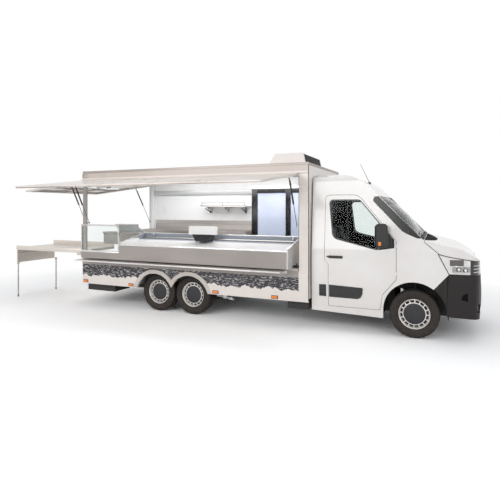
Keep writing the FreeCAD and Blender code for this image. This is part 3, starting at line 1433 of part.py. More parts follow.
side_length = S.side_flap_front - S.side_flap_rear
side_stations = (S.flap_frame * 0.5, side_length - S.flap_frame * 0.5)
rear_length = S.rear_flap_half * 2
rear_stations = (S.flap_frame * 0.5, rear_length - S.flap_frame * 0.5)
part("side_flap", flap_with_lugs("side_flap_lugs", side_flap, side_length, S.side_strut_seat,
                                 ((side_stations[0], 1), (side_stations[1], -1))), side_place, side_turn)
part("rear_flap", flap_with_lugs("rear_flap_lugs", rear_flap, rear_length, S.rear_strut_seat,
                                 ((rear_stations[0], 1), (rear_stations[1], -1))), rear_place, rear_turn)
head_out, head_up, side_span, side_lean = side_strut
side_cylinders, side_rods = strut_solids("side_strut", side_span, side_stations)
side_head = (S.side_flap_rear, side_hinge_y - head_out, S.flap_hinge_height + head_up)
part("side_strut_cylinders", side_cylinders, side_head, (0, 0, side_lean))
part("side_strut_rods", side_rods, side_head, (0, 0, side_lean))
head_out, head_up, rear_span, rear_lean = rear_strut
rear_cylinders, rear_rods = strut_solids("rear_strut", rear_span, rear_stations)
rear_head = (rear_hinge_x - head_out, S.rear_flap_half, S.flap_hinge_height + head_up)
part("rear_strut_cylinders", rear_cylinders, rear_head, (-90, 0, rear_lean))
part("rear_strut_rods", rear_rods, rear_head, (-90, 0, rear_lean))

# Display counter: panels screwed edge to edge round a raised tray and an open cavity, on a low deck,
# with a service desk at its rear end
front_y = -S.counter_front
back_y = front_y + S.counter_depth
deck_low = S.counter_bottom
deck_high = deck_low + S.counter_wall / 2
seam = S.running_clearance
tray_rise = S.tray_slope / S.counter_depth
panel_low = deck_high + seam
between_cheeks = (S.counter_split + S.counter_wall + seam, S.counter_front_end - S.counter_wall - seam)
front_panel = block("counter_front_panel", between_cheeks, (front_y, front_y + S.counter_wall),
                    (panel_low, S.counter_top))
corner_post = block("counter_corner_post", (S.counter_split + seam, S.counter_split + S.counter_wall),
                    (front_y, front_y + S.counter_wall), (panel_low, S.tray_height - S.tray_lip - seam))
low_front_panel = block("counter_low_panel", (S.counter_rear, S.counter_split),
                        (front_y, front_y + S.counter_wall), (panel_low, S.table_top + S.counter_wall))
deck = block("counter_deck", (S.counter_rear, S.counter_front_end - S.counter_wall - seam), (front_y, back_y),
             (deck_low, deck_high))
tray = slab("counter_tray", "YZ", [
    (front_y + S.counter_wall + seam, S.tray_height + tray_rise * S.counter_wall),
    (back_y, S.tray_height + S.tray_slope),
    (back_y, S.tray_height + S.tray_slope + S.counter_wall),
    (front_y + S.counter_wall + seam, S.tray_height + S.counter_wall + tray_rise * S.counter_wall),
], *between_cheeks)
tray_back = block("counter_tray_back", between_cheeks, (back_y - S.counter_wall, back_y),
                  (S.tray_height + S.tray_slope + S.counter_wall + seam, S.counter_back))
left_cheek = slab("counter_cheek_rear", "YZ", [
    (front_y, S.tray_height - S.tray_lip),
    (back_y, S.tray_height + S.tray_slope - S.tray_lip),
    (back_y, S.counter_back),
    (front_y, S.counter_top + S.tray_lip),
], S.counter_split, S.counter_split + S.counter_wall)
right_cheek = slab("counter_cheek_front", "YZ", [
    (front_y, deck_low),
    (back_y, deck_low),
    (back_y, S.counter_back),
    (front_y, S.counter_top + S.tray_lip),
], S.counter_front_end - S.counter_wall, S.counter_front_end)
counter_back_start = S.table_front + S.body_rear + S.table_stop - S.table_rear + S.table_clearance
counter_back_panel = block("counter_back_panel", (counter_back_start, S.counter_front_end - S.counter_wall - seam),
                           (back_y - S.counter_wall, back_y),
                           (panel_low, S.tray_height + S.tray_slope - tray_rise * S.counter_wall - seam))
desk_back_y = back_y + S.desk_overhang
desk = slab("counter_desk", "YZ", [
    (desk_back_y - S.desk_depth, S.desk_bottom),
    (desk_back_y, S.desk_bottom),
    (desk_back_y, S.bench_height),
    (desk_back_y - S.desk_depth - S.desk_nose, S.bench_height),
    (desk_back_y - S.desk_depth - S.desk_nose, S.bench_height - S.desk_nose),
    (desk_back_y - S.desk_depth, S.bench_height - S.desk_nose * 2),
], S.counter_rear, S.counter_split - seam)
hood_shelf = slab("counter_hood_shelf", "YZ", [
    (desk_back_y - S.desk_depth, S.desk_shelf_height - S.counter_wall),
    (desk_back_y, S.desk_shelf_height - S.counter_wall),
    (desk_back_y, S.desk_shelf_height),
    (desk_back_y - S.desk_depth + S.desk_nose, S.desk_shelf_height),
], S.desk_shelf_rear, S.desk_shelf_front)
hood_post_pieces = []
for index, post_x in enumerate((S.desk_shelf_rear, S.desk_shelf_front - S.counter_wall)):
    hood_post_pieces.append(block(f"counter_hood_post_{index}", (post_x, post_x + S.counter_wall),
                                  (desk_back_y - S.counter_wall, desk_back_y),
                                  (S.bench_height - S.desk_nose, S.desk_shelf_height)))
service_desk = fuse("service_desk", desk, hood_shelf, *hood_post_pieces)
part("display_counter", [front_panel, corner_post, low_front_panel, deck, tray, tray_back, left_cheek,
                         right_cheek, counter_back_panel, service_desk])

# Glass guard: an upright frame of square tube on the counter's rear end
guard_front_x = S.counter_split - S.running_clearance
guard_low = S.table_top + S.counter_wall + S.running_clearance
guard_outline = [
    (S.counter_rear, guard_low),
    (guard_front_x, guard_low),
    (guard_front_x, S.guard_top),
    (S.counter_rear, S.guard_top),
]
guard_window = [
    (S.counter_rear + S.guard_tube, guard_low + S.guard_tube),
    (guard_front_x - S.guard_tube, guard_low + S.guard_tube),
    (guard_front_x - S.guard_tube, S.guard_top - S.guard_tube),
    (S.counter_rear + S.guard_tube, S.guard_top - S.guard_tube),
]
part("glass_guard", slab("guard", "XZ", [guard_outline, guard_window], front_y, front_y + S.guard_tube))

# Rear table: a sliding top with a lip and an end apron; it runs on the counter's deck
table_low = S.table_top - S.table_depth
table_right_y = -S.body_half + S.post_wall + S.table_clearance
table_left_y = table_right_y + S.table_width
table_top = block("table_top", (S.table_rear, S.table_front), (table_right_y, table_left_y),
                  (table_low, S.table_top))
table_lip = block("table_lip", (S.table_rear, S.table_front), (table_left_y - S.table_lip_wall, table_left_y),
                  (table_low, S.table_top + S.table_lip))
apron_right_y = -body_inner_half + S.table_clearance
apron = block("table_apron", (S.table_rear, S.table_rear + S.table_apron_wall), (apron_right_y, table_left_y),
              (S.table_apron_bottom, table_low))
runner_low = deck_high + S.running_clearance
runner_right = block("runner_right", (S.table_front - S.runner_lap, S.runner_front),
                     (apron_right_y, apron_right_y + S.runner_width), (runner_low, table_low))
runner_left = block("runner_left", (S.table_front - S.runner_lap, S.runner_front),
                    (back_y - S.counter_wall * 2 - S.runner_width, back_y - S.counter_wall * 2), (runner_low, table_low))
leg_pivot_height = S.table_apron_bottom - S.leg_pivot_drop
pivot_wall = S.leg_head / 4
leg_rear_x = S.table_rear + S.leg_radius + S.running_clearance + pivot_wall
leg_front_x = leg_rear_x + S.leg_pitch
leg_right_y = apron_right_y + S.leg_radius
leg_left_y = table_left_y - S.leg_radius


def leg_fork(name, x_middle, y_pivot):
    """The two ears that a leg's head turns between, and their pin."""
    low_x = x_middle - S.leg_radius - S.running_clearance - pivot_wall
    high_x = x_middle + S.leg_radius + S.running_clearance + pivot_wall
    ear_y = (y_pivot - S.leg_radius, y_pivot + S.leg_radius)
    ear_z = (leg_pivot_height - S.leg_radius, S.table_apron_bottom + pivot_wall)
    return [
        block(f"{name}_ear_rear", (low_x, low_x + pivot_wall), ear_y, ear_z),
        block(f"{name}_ear_front", (high_x - pivot_wall, high_x), ear_y, ear_z),
        block(f"{name}_bridge", (low_x, high_x), ear_y, (S.table_apron_bottom, S.table_apron_bottom + pivot_wall)),
        rod(f"{name}_pin", "x", S.leg_radius / 3, high_x - low_x, (low_x, y_pivot, leg_pivot_height)),
    ]


hanger_left = block("hanger_left", (S.table_rear, leg_front_x + S.leg_radius + pivot_wall),
                    (leg_left_y - S.leg_radius, leg_left_y + S.leg_radius),
                    (S.table_apron_bottom, S.table_apron_bottom + pivot_wall))
part("rear_table", fuse("rear_table", table_top, table_lip, apron, hanger_left, runner_right, runner_left,
                        *leg_fork("fork_right", leg_rear_x, leg_right_y),
                        *leg_fork("fork_left", leg_front_x, leg_left_y)))

# Folding legs: each hangs from a pivot block under the apron and folds sideways


def leg(name, x_middle, y_pivot):
    tube = rod(f"{name}_tube", "z", S.leg_radius, leg_pivot_height - S.leg_foot_depth / 2,
               (x_middle, y_pivot, S.leg_foot_depth / 2))
    foot = rod(f"{name}_foot", "z", S.leg_foot_radius, S.leg_foot_depth, (x_middle, y_pivot, 0))
    head = rod(f"{name}_head", "x", S.leg_radius, S.leg_radius * 2,
               (x_middle - S.leg_radius, y_pivot, leg_pivot_height))
    bore = rod(f"{name}_bore", "x", S.leg_radius / 3 + S.running_clearance, S.leg_radius * 4,
               (x_middle - S.leg_radius * 2, y_pivot, leg_pivot_height))
    return cut(name, fuse(f"{name}_solid", tube, foot, head), bore)


part("table_leg_right", leg("table_leg_right", leg_rear_x, leg_right_y))
part("table_leg_left", leg("table_leg_left", leg_front_x, leg_left_y))

# Bag shelf: a plate on a flange that hangs from the hinge barrel under the sill
shelf_hinge_y = -S.shelf_hinge_out + S.hinge_radius / 2
shelf = fuse("bag_shelf", block("shelf_sheet", (S.shelf_rear, S.shelf_front),
                                (-S.shelf_hinge_out - S.shelf_depth, -S.shelf_hinge_out + S.hinge_radius),
                                (S.shelf_top - S.shelf_wall, S.shelf_top)),
             block("shelf_flange", (S.shelf_rear, S.shelf_front), (-S.shelf_hinge_out, -S.shelf_hinge_out
                                                                   + S.hinge_radius),
                   (S.shelf_hinge_height, S.shelf_top - S.shelf_wall)),
             rod("shelf_hinge", "x", S.hinge_radius, S.shelf_front - S.shelf_rear,
                 (S.shelf_rear, shelf_hinge_y, S.shelf_hinge_height)))
part("bag_shelf", shelf)

# Refrigerator: a cabinet against the left wall with two framed glass doors
fridge_front = S.fridge_left - S.fridge_depth
fridge_rear_end = S.fridge_front_end - S.fridge_width
case_box = block("case_box", (fridge_rear_end, S.fridge_front_end), (fridge_front, S.fridge_left),
                 (S.floor_top + S.running_clearance, S.fridge_top))
case_void = block("case_void", (fridge_rear_end + S.fridge_side, S.fridge_front_end - S.fridge_side),
                  (fridge_front - S.overrun, S.fridge_left - S.fridge_wall),
                  (S.fridge_door_bottom, S.fridge_door_top))
door_low = S.fridge_door_bottom - S.fridge_side / 2
door_high = S.fridge_door_top + S.fridge_side / 2
door_face = fridge_front - S.fridge_door_gap - S.fridge_door
door_pitch = S.fridge_width / 2
pivot_y = door_face + S.fridge_pivot_inset
pivot_rear_x = fridge_rear_end + S.fridge_door_gap + S.fridge_pivot_inset
pivot_front_x = S.fridge_front_end - S.fridge_pivot_inset
fridge_brackets = []
for index, hinge_x in enumerate((pivot_rear_x, pivot_front_x)):
    for level, low, pin_low in (
            ("low", door_low - S.hinge_gap - S.fridge_bracket, door_low - S.hinge_gap - S.fridge_bracket),
            ("high", door_high + S.hinge_gap, door_high - S.fridge_bracket)):
        fridge_brackets += [
            block(f"fridge_bracket_{index}_{level}", (hinge_x - S.fridge_bracket, hinge_x + S.fridge_bracket),
                  (pivot_y - S.fridge_bracket, fridge_front), (low, low + S.fridge_bracket)),
            rod(f"fridge_pin_{index}_{level}", "z", S.fridge_pin, S.fridge_bracket * 2 + S.hinge_gap,
                (hinge_x, pivot_y, pin_low)),
        ]
part("fridge_case", fuse("fridge_case", cut("fridge_cabinet", case_box, case_void), *fridge_brackets))


def fridge_door(name, x_low, pivot_x):
    """A door panel with a blind bore for the hinge pin at its top and its foot."""
    frame = [
        (x_low, door_low),
        (x_low + door_pitch - S.fridge_door_gap, door_low),
        (x_low + door_pitch - S.fridge_door_gap, door_high),
        (x_low, door_high),
    ]
    bore_depth = S.fridge_bracket + S.hinge_gap
    bores = [rod(f"{name}_bore_{level}", "z", S.fridge_pin + S.running_clearance, bore_depth + overlap,
                 (pivot_x, pivot_y, low))
             for level, low, overlap in (("low", door_low - S.overrun, S.overrun),
                                         ("high", door_high - bore_depth, S.overrun))]
    return cut(name, slab(name + "_panel", "XZ", frame, door_face, fridge_front - S.fridge_door_gap), *bores)


part("fridge_door_rear", fridge_door("fridge_door_rear", fridge_rear_end + S.fridge_door_gap, pivot_rear_x))
part("fridge_door_front", fridge_door("fridge_door_front", fridge_rear_end + door_pitch + S.fridge_door_gap,
                                      pivot_front_x))

# Worktop with splashback along the left wall, and a shelf above it
bench_wall_y = body_inner_half - S.running_clearance
bench = fuse("bench", block("bench_body", (S.bench_rear_end, S.bench_front_end),
                            (bench_wall_y - S.bench_depth, bench_wall_y),
                            (S.wheel_box_top + S.running_clearance, S.bench_height)),
             block("bench_splash", (S.bench_rear_end, S.bench_front_end),
                   (bench_wall_y - S.bench_plate / 2, bench_wall_y),
                   (S.bench_height, S.bench_height + S.bench_splash)))
part("worktop", bench)

shelf_y = bench_wall_y - S.shelf_inside_depth
wall_shelf_pieces = [block("wall_shelf_plate", (S.shelf_inside_rear, S.shelf_inside_front),
                           (shelf_y, bench_wall_y),
                           (S.shelf_inside_height - S.shelf_inside_plate, S.shelf_inside_height))]
SHELF_BRACKET_SHARES = (0.12, 0.5, 0.88)
shelf_length = S.shelf_inside_front - S.shelf_inside_rear
for index, share in enumerate(SHELF_BRACKET_SHARES):
    bracket_x = S.shelf_inside_rear + shelf_length * share
    wall_shelf_pieces.append(slab(f"shelf_bracket_{index}", "YZ", [
        (bench_wall_y, S.shelf_inside_height - S.shelf_inside_plate),
        (bench_wall_y, S.shelf_inside_height - S.shelf_inside_bracket),
        (shelf_y + S.shelf_inside_plate, S.shelf_inside_height - S.shelf_inside_plate),
    ], bracket_x, bracket_x + S.shelf_inside_plate / 2))
part("wall_shelf", fuse("wall_shelf", *wall_shelf_pieces))

# Sales scale: a display box on a stand, on the tray
scale_y = -S.scale_middle
scale_foot_low = S.tray_height + S.counter_wall + tray_rise * (scale_y + S.scale_depth / 2 - front_y)
scale_pieces = fuse("scale", block("scale_foot", (S.scale_front - S.scale_length * 0.8, S.scale_front
                                                  - S.scale_length * 0.2),
                                   (scale_y - S.scale_depth / 2, scale_y + S.scale_depth / 2),
                                   (scale_foot_low + S.running_clearance, scale_foot_low + S.scale_foot)),
                    block("scale_stem", (S.scale_front - S.scale_length * 0.55,
                                         S.scale_front - S.scale_length * 0.45),
                          (scale_y - S.scale_foot, scale_y + S.scale_foot),
                          (scale_foot_low + S.running_clearance, scale_foot_low + S.scale_stand)),
                    block("scale_box", (S.scale_front - S.scale_length, S.scale_front),
                          (scale_y - S.scale_foot * 2, scale_y + S.scale_foot * 2),
                          (scale_foot_low + S.scale_stand - S.scale_foot,
                           scale_foot_low + S.scale_stand + S.scale_height)))
part("scale", scale_pieces)

doc.recompute()

for thing in doc.Objects:
    if "Invalid" in thing.State or "Error" in thing.State:
        raise ValueError(f"{thing.Label} did not build: {thing.State}")
os.makedirs("parts", exist_ok=True)
for sub_part in parts:
    shape = sub_part.Shape
    if shape.isNull() or not shape.isValid() or not shape.Solids:
        raise ValueError(f"{sub_part.Label} has no valid solid")
    shape.exportStep(f"parts/{sub_part.Label}.step")
    box = shape.BoundBox
    print(f"{sub_part.Label:24s} {len(shape.Solids)} solids  {shape.Volume / 1e9:9.5f} m3"
          f"  x {box.XMin:8.1f} {box.XMax:8.1f}  y {box.YMin:8.1f} {box.YMax:8.1f}"
          f"  z {box.ZMin:7.1f} {box.ZMax:7.1f}")
print("shift", round(float(shift_x), 3), round(float(shift_y), 3))
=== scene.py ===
import json
from math import cos, pi, radians, sin, sqrt

import bmesh
import bpy
from mathutils import Matrix, Vector

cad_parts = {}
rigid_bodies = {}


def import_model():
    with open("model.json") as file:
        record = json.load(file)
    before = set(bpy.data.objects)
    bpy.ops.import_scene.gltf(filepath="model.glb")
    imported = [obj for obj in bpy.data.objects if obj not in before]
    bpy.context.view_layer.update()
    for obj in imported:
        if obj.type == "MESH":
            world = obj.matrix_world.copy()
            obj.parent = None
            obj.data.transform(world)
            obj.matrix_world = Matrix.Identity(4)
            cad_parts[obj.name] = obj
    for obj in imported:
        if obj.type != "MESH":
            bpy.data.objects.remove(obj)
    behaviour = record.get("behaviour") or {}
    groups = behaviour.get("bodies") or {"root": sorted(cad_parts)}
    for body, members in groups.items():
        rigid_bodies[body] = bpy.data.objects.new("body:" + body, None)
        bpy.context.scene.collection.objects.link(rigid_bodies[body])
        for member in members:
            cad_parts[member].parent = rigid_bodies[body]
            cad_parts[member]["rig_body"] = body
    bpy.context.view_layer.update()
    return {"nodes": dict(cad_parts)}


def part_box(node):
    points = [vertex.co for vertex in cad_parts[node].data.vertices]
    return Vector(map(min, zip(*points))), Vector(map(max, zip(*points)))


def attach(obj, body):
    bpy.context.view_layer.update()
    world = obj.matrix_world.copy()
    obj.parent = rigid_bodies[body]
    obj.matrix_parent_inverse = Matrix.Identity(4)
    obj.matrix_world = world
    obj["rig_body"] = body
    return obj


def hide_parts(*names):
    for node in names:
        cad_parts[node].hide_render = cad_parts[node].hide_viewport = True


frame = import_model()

# The viewpoint: a standing eye at the right front quarter, 7.7 m from the axle line, looking level
# towards the serving side. The truck's own datum is on the ground midway between the front wheels.
DATUM_X, DATUM_Y = 3.539, 0.731723
SIDES = (("right", -1), ("left", 1))


def spot(along, across, up):
    """A point given from the ground between the front wheels: forwards, leftwards and upwards."""
    return Vector((along + DATUM_X, across + DATUM_Y, up))


scene = bpy.context.scene
lens = bpy.data.cameras.new("eye")
lens.sensor_width = 36.0
lens.lens = 31.77
lens.shift_y = -0.0841
lens.clip_end = 200.0
eye = bpy.data.objects.new("eye", lens)
eye.location = spot(0.360, -7.742, 1.890)
eye.rotation_euler = (radians(90), 0, radians(23.44))
scene.collection.objects.link(eye)
scene.camera = eye
scene.view_settings.view_transform = "Standard"

# The studio: pale floor and air, two wide soft lamps in front of the serving side, one over the roof
# and one in the sales room. Air and floor read as white to the eye and in gloss and glass; near the
# truck the floor keeps the shadow.


def add_node(tree, kind, inputs=None, **settings):
    """Adds a shader node and returns its outputs. An input is a value or the socket that feeds it."""
    made = tree.nodes.new("ShaderNode" + kind)
    for name, value in settings.items():
        setattr(made, name, value)
    for socket, value in (inputs or {}).items():
        if isinstance(value, bpy.types.NodeSocket):
            tree.links.new(value, made.inputs[socket])
        else:
            made.inputs[socket].default_value = value
    return made.outputs


def seen_rays(tree):
    """One for a ray from the eye, off a gloss or through glass, nought for light that falls on things."""
    rays = add_node(tree, "LightPath")
    either = add_node(tree, "Math", {0: rays["Is Camera Ray"], 1: rays["Is Glossy Ray"]}, operation="MAXIMUM")
    return add_node(tree, "Math", {0: either[0], 1: rays["Is Transmission Ray"]}, operation="MAXIMUM")[0]


air = bpy.data.worlds.new("studio_air")
scene.world = air
air.use_nodes = True
tree = air.node_tree
tree.nodes.clear()
dim_air = add_node(tree, "Background", {"Color": (0.93, 0.96, 1.0, 1), "Strength": 0.33})[0]
white_air = add_node(tree, "Background", {"Color": (1, 1, 1, 1), "Strength": 1.0})[0]
air_mix = add_node(tree, "MixShader", {"Fac": seen_rays(tree), 1: dim_air, 2: white_air})[0]
add_node(tree, "OutputWorld", {"Surface": air_mix})

for lamp_name, place, aim, width, height, power in (
        ("front_lamp", (-5.5, -9.5, 3.9), (-3.0, 0, 1.2), 9.0, 5.0, 425),
        ("corner_lamp", (6.5, -7.5, 3.4), (-1.0, 0, 1.0), 6.0, 5.0, 270),
        ("roof_lamp", (-2.8, 1.0, 8.2), (-2.8, 0, 0), 12.0, 7.0, 160),
        ("room_lamp", (-3.7, 0.1, 2.50), (-3.7, 0.35, 0.9), 3.8, 0.9, 45)):
    glow = bpy.data.lights.new(lamp_name, "AREA")
    glow.shape = "RECTANGLE"
    glow.size = width
    glow.size_y = height
    glow.energy = power
    holder = bpy.data.objects.new(lamp_name, glow)
    holder.location = spot(*place)
    holder.rotation_mode = "QUATERNION"
    holder.rotation_quaternion = (spot(*aim) - spot(*place)).to_track_quat("-Z", "Y")
    scene.collection.objects.link(holder)

floor_shape = bmesh.new()
bmesh.ops.create_grid(floor_shape, x_segments=8, y_segments=8, size=60)
floor_mesh = bpy.data.meshes.new("studio_floor")
floor_shape.to_mesh(floor_mesh)
floor_shape.free()
studio_floor = bpy.data.objects.new("studio_floor", floor_mesh)
scene.collection.objects.link(studio_floor)
floor_finish = bpy.data.materials.new("pale_floor")
floor_finish.use_nodes = True
tree = floor_finish.node_tree
tree.nodes.clear()
matt_floor = add_node(tree, "BsdfDiffuse", {"Color": (0.80, 0.80, 0.80, 1)})[0]
near_floor = add_node(tree, "BsdfDiffuse", {"Color": (1.50, 1.50, 1.50, 1)})[0]
white_floor = add_node(tree, "Emission", {"Strength": 1.0})[0]
reach = add_node(tree, "VectorMath", {0: add_node(tree, "TexCoord")["Object"]}, operation="LENGTH")["Value"]
fade = add_node(tree, "MapRange", {"Value": reach, "From Min": 4.2, "From Max": 7.5})["Result"]
seen_floor = add_node(tree, "MixShader", {"Fac": fade, 1: near_floor, 2: white_floor})[0]
floor_mix = add_node(tree, "MixShader", {"Fac": seen_rays(tree), 1: matt_floor, 2: seen_floor})[0]
add_node(tree, "OutputMaterial", {"Surface": floor_mix})
floor_mesh.materials.append(floor_finish)

# Tyres: six van tyres of black rubber, moulded with four ribs, cross cuts in the shoulders
# and a rim-guard bead on the sidewall. They are pressed over the rims.


def tint(code):
    """A colour as paint charts give it, made linear for the shader."""
    values = []
    for start in (0, 2, 4):
        part = int(code[start:start + 2], 16) / 255
        values.append(part / 12.92 if part <= 0.04045 else ((part + 0.055) / 1.055) ** 2.4)
    return (*values, 1.0)


def ramp(tree, factor, *stops):
    """A ramp between two colours, each given as its position and its code."""
    made = tree.nodes.new("ShaderNodeValToRGB")
    tree.links.new(factor, made.inputs["Fac"])
    for element, (position, code) in zip(made.color_ramp.elements, stops):
        element.position = position
        element.color = tint(code)
    return made.outputs["Color"]


def finish(name, light, dark, grain=5.0, stretch=(1, 1, 1), rough=(0.35, 0.5), bump=0.05, bump_grain=120.0,
           dust=None, **sockets):
    """A surface whose colour drifts between two tones, with its own grain and uneven gloss."""
    surface = bpy.data.materials.new(name)
    surface.use_nodes = True
    tree = surface.node_tree
    shader = tree.nodes["Principled BSDF"]
    for socket, value in sockets.items():
        shader.inputs[socket.replace("_", " ")].default_value = value
    place = add_node(tree, "TexCoord")["Object"]
    mapping = add_node(tree, "Mapping", {"Scale": stretch, "Vector": place})["Vector"]
    drift = add_node(tree, "TexNoise", {"Scale": grain, "Detail": 6.0, "Vector": mapping})["Fac"]
    colour = ramp(tree, drift, (0.35, dark), (0.62, light))
    gloss = add_node(tree, "MapRange", {"Value": drift, "From Min": 0.3, "From Max": 0.7,
                                        "To Min": rough[0], "To Max": rough[1]})["Result"]
    pits = add_node(tree, "TexNoise", {"Scale": bump_grain, "Detail": 3.0, "Vector": mapping})["Fac"]
    relief = add_node(tree, "Bump", {"Strength": bump, "Distance": 0.002, "Height": pits})["Normal"]
    if dust:
        low, high, most, code = dust
        height = add_node(tree, "SeparateXYZ", {"Vector": place})["Z"]
        fall = add_node(tree, "MapRange", {"Value": height, "From Min": low, "From Max": high,
                                           "To Min": most, "To Max": 0.0})["Result"]
        patch = add_node(tree, "Math", {0: fall, 1: drift}, operation="MULTIPLY")[0]
        colour = add_node(tree, "Mix", {"Factor": patch, "A": colour, "B": tint(code)},
                          data_type="RGBA")["Result"]
    for socket, source in (("Base Color", colour), ("Roughness", gloss), ("Normal", relief)):
        tree.links.new(source, shader.inputs[socket])
    return surface


def piece(name, shape, body, surface, edge_angle=35):
    """Turns a finished bmesh into a piece that rides on a body, smooth but for its real edges."""
    mesh = bpy.data.meshes.new(name)
    shape.to_mesh(mesh)
    shape.free()
    mesh.shade_smooth()
    mesh.set_sharp_from_angle(angle=radians(edge_angle))
    for each in surface if isinstance(surface, (list, tuple)) else [surface]:
        mesh.materials.append(each)
    made = bpy.data.objects.new(name, mesh)
    scene.collection.objects.link(made)
    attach(made, body)
    return made


def outward(shape):
    """Turns a shape's faces to its outside."""
    bmesh.ops.recalc_face_normals(shape, faces=shape.faces[:])


def merge(shape):
    """Makes one corner of those that lie in one place."""
    bmesh.ops.remove_doubles(shape, verts=shape.verts[:], dist=1e-5)


def move(shape, way):
    """Moves all of a shape."""
    bmesh.ops.translate(shape, vec=way, verts=shape.verts[:])


def turned(outline, steps, out=1):
    """Spins an outline of (radius, along) points round the Y axis."""
    shape = bmesh.new()
    points = [shape.verts.new((radius, along * out, 0)) for radius, along in outline]
    runs = [shape.edges.new((points[i], points[i + 1])) for i in range(len(points) - 1)]
    bmesh.ops.spin(shape, geom=points + runs, cent=(0, 0, 0), axis=(0, 1, 0), dvec=(0, 0, 0),
                   angle=2 * pi, steps=steps, use_merge=True)
    merge(shape)
    outward(shape)
    return shape


def around(point, steps):
    """How far a point lies from a wheel's axis, and in which of so many steps round it."""
    angle = Vector((point.x, point.z)).angle_signed(Vector((1, 0))) % (2 * pi)
    return (point.x ** 2 + point.z ** 2) ** 0.5, int(angle / (2 * pi) * steps)


rubber = finish("tyre_rubber", "2E2926", "1D1A18", grain=14, rough=(0.62, 0.82), bump=0.12, bump_grain=260,
                dust=(0.0, 0.75, 0.35, "5A4F46"), Specular_IOR_Level=0.35)
tyre_half = [(0.2066, 0.0815), (0.2180, 0.0895), (0.2260, 0.0950), (0.2290, 0.0985), (0.2330, 0.0975),
             (0.2500, 0.1055), (0.2700, 0.1098), (0.2860, 0.1102), (0.2890, 0.1106), (0.2930, 0.1106),
             (0.2960, 0.1098), (0.3100, 0.1085), (0.3270, 0.1030), (0.3380, 0.0955), (0.3440, 0.0880),
             (0.3472, 0.0540), (0.3390, 0.0520), (0.3390, 0.0450), (0.3480, 0.0430), (0.3489, 0.0060),
             (0.3400, 0.0045)]
tyre_outline = tyre_half + [(radius, -along) for radius, along in reversed(tyre_half)] + [tyre_half[0]]
TYRE_STEPS, RIM_STEPS, CAP_STEPS = 144, 96, 64
WHEELS = [(axle, side, out) for axle in ("front", "middle", "rear") for side, out in SIDES]
for axle, side, out in WHEELS:
    node = f"tyre_{axle}_{side}"
    shape = turned(tyre_outline, TYRE_STEPS)
    cuts = []
    for face in shape.faces:
        middle = face.calc_center_median()
        reach, turn = around(middle, TYRE_STEPS)
        if reach > 0.3405 and 0.056 < abs(middle.y) < 0.094 and turn % 4 == 0:
            cuts.append(face)
        if reach > 0.3455 and 0.008 < abs(middle.y) < 0.042 and turn % 6 == (0 if middle.y > 0 else 3):
            cuts.append(face)
    bmesh.ops.inset_individual(shape, faces=cuts, thickness=0.002, depth=-0.007)
    low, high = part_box(node)
    move(shape, (low + high) / 2)
    tread = piece(node + "_tread", shape, frame["nodes"][node]["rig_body"], rubber, 30)
    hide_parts(node)

# Rims: pressed steel wheels, painted silver, with sixteen slots round the disc, made as shallow pockets
# painted near-black as shade, and a dark plastic cap clipped over the hub and its nuts.
rim_silver = finish("silver_wheel_paint", "F2EEEA", "E2DDD8", grain=9, rough=(0.28, 0.42), bump=0.03,
                    Metallic=0.55, dust=(0.0, 0.6, 0.25, "6A5D52"))
# Painted shade: the slots are pockets that are not cut through, and this near-black stands for the shade seen
# through them.
slot_painted_shade = finish("wheel_slot_shade", "1B1B1D", "121214", grain=30, rough=(0.7, 0.9))
cap_plastic = finish("hub_cap_plastic", "2A2A2E", "1F1F22", grain=60, rough=(0.42, 0.6), bump=0.2,
                     bump_grain=700)
rim_outline = [(0.2055, 0.080), (0.2160, 0.0845), (0.2168, 0.0905), (0.2130, 0.0910), (0.2060, 0.0850),
               (0.2010, 0.0700), (0.1975, 0.0585), (0.1950, 0.0545), (0.1915, 0.0545), (0.1660, 0.0590),
               (0.1630, 0.0635), (0.1530, 0.0640), (0.1500, 0.0560), (0.1200, 0.0520), (0.0900, 0.0500),
               (0.0900, 0.0420), (0.1500, 0.0440), (0.1900, 0.0440), (0.1930, -0.0800), (0.2160, -0.0845),
               (0.2160, -0.0905), (0.2020, -0.0880), (0.1985, -0.0800), (0.2010, -0.0600), (0.1990, 0.0500),
               (0.2055, 0.080)]
cap_outline = [(0.1505, 0.0560), (0.1505, 0.0680), (0.1440, 0.0715), (0.1180, 0.0730), (0.1160, 0.0705),
               (0.1080, 0.0705), (0.1060, 0.0735), (0.0700, 0.0755), (0.0680, 0.0735), (0.0620, 0.0735),
               (0.0600, 0.0765), (0.0300, 0.0775), (0.0004, 0.0778)]
for axle, side, out in WHEELS:
    node = f"rim_{axle}_{side}"
    body = frame["nodes"][node]["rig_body"]
    low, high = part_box(f"tyre_{axle}_{side}")
    shape = turned(rim_outline, RIM_STEPS, out)
    pockets = []
    for face in shape.faces:
        middle = face.calc_center_median()
        reach, turn = around(middle, RIM_STEPS)
        if 0.160 < reach < 0.1955 and middle.y * out > 0.05 and turn % 6 < 5:
            pockets.append(face)
    bmesh.ops.inset_region(shape, faces=pockets, thickness=0.0025, depth=0)
    for face in pockets:
        face.material_index = 1
    dropped = {vertex for face in pockets for vertex in face.verts}
    bmesh.ops.translate(shape, vec=(0, -0.010 * out, 0), verts=list(dropped))
    move(shape, (low + high) / 2)
    wheel = piece(node + "_wheel", shape, body, [rim_silver, slot_painted_shade], 30)
    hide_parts(node)
    shape = turned(cap_outline, CAP_STEPS, out)
    move(shape, (low + high) / 2)
    piece(f"hub_cap_{axle}_{side}", shape, body, cap_plastic)

# Cab body: pressed steel panels, welded, in white solid paint with a clear top coat;
# the lower sills carry a little road dust. The engine cover and both doors are painted with it.
cab_white = finish("cab_white_paint", "F2EFEC", "EBE7E4", grain=1.6, rough=(0.16, 0.24), bump=0.008,
                   bump_grain=900, dust=(0.25, 0.9, 0.22, "B9B0A8"), Coat_Weight=0.6, Coat_Roughness=0.06)


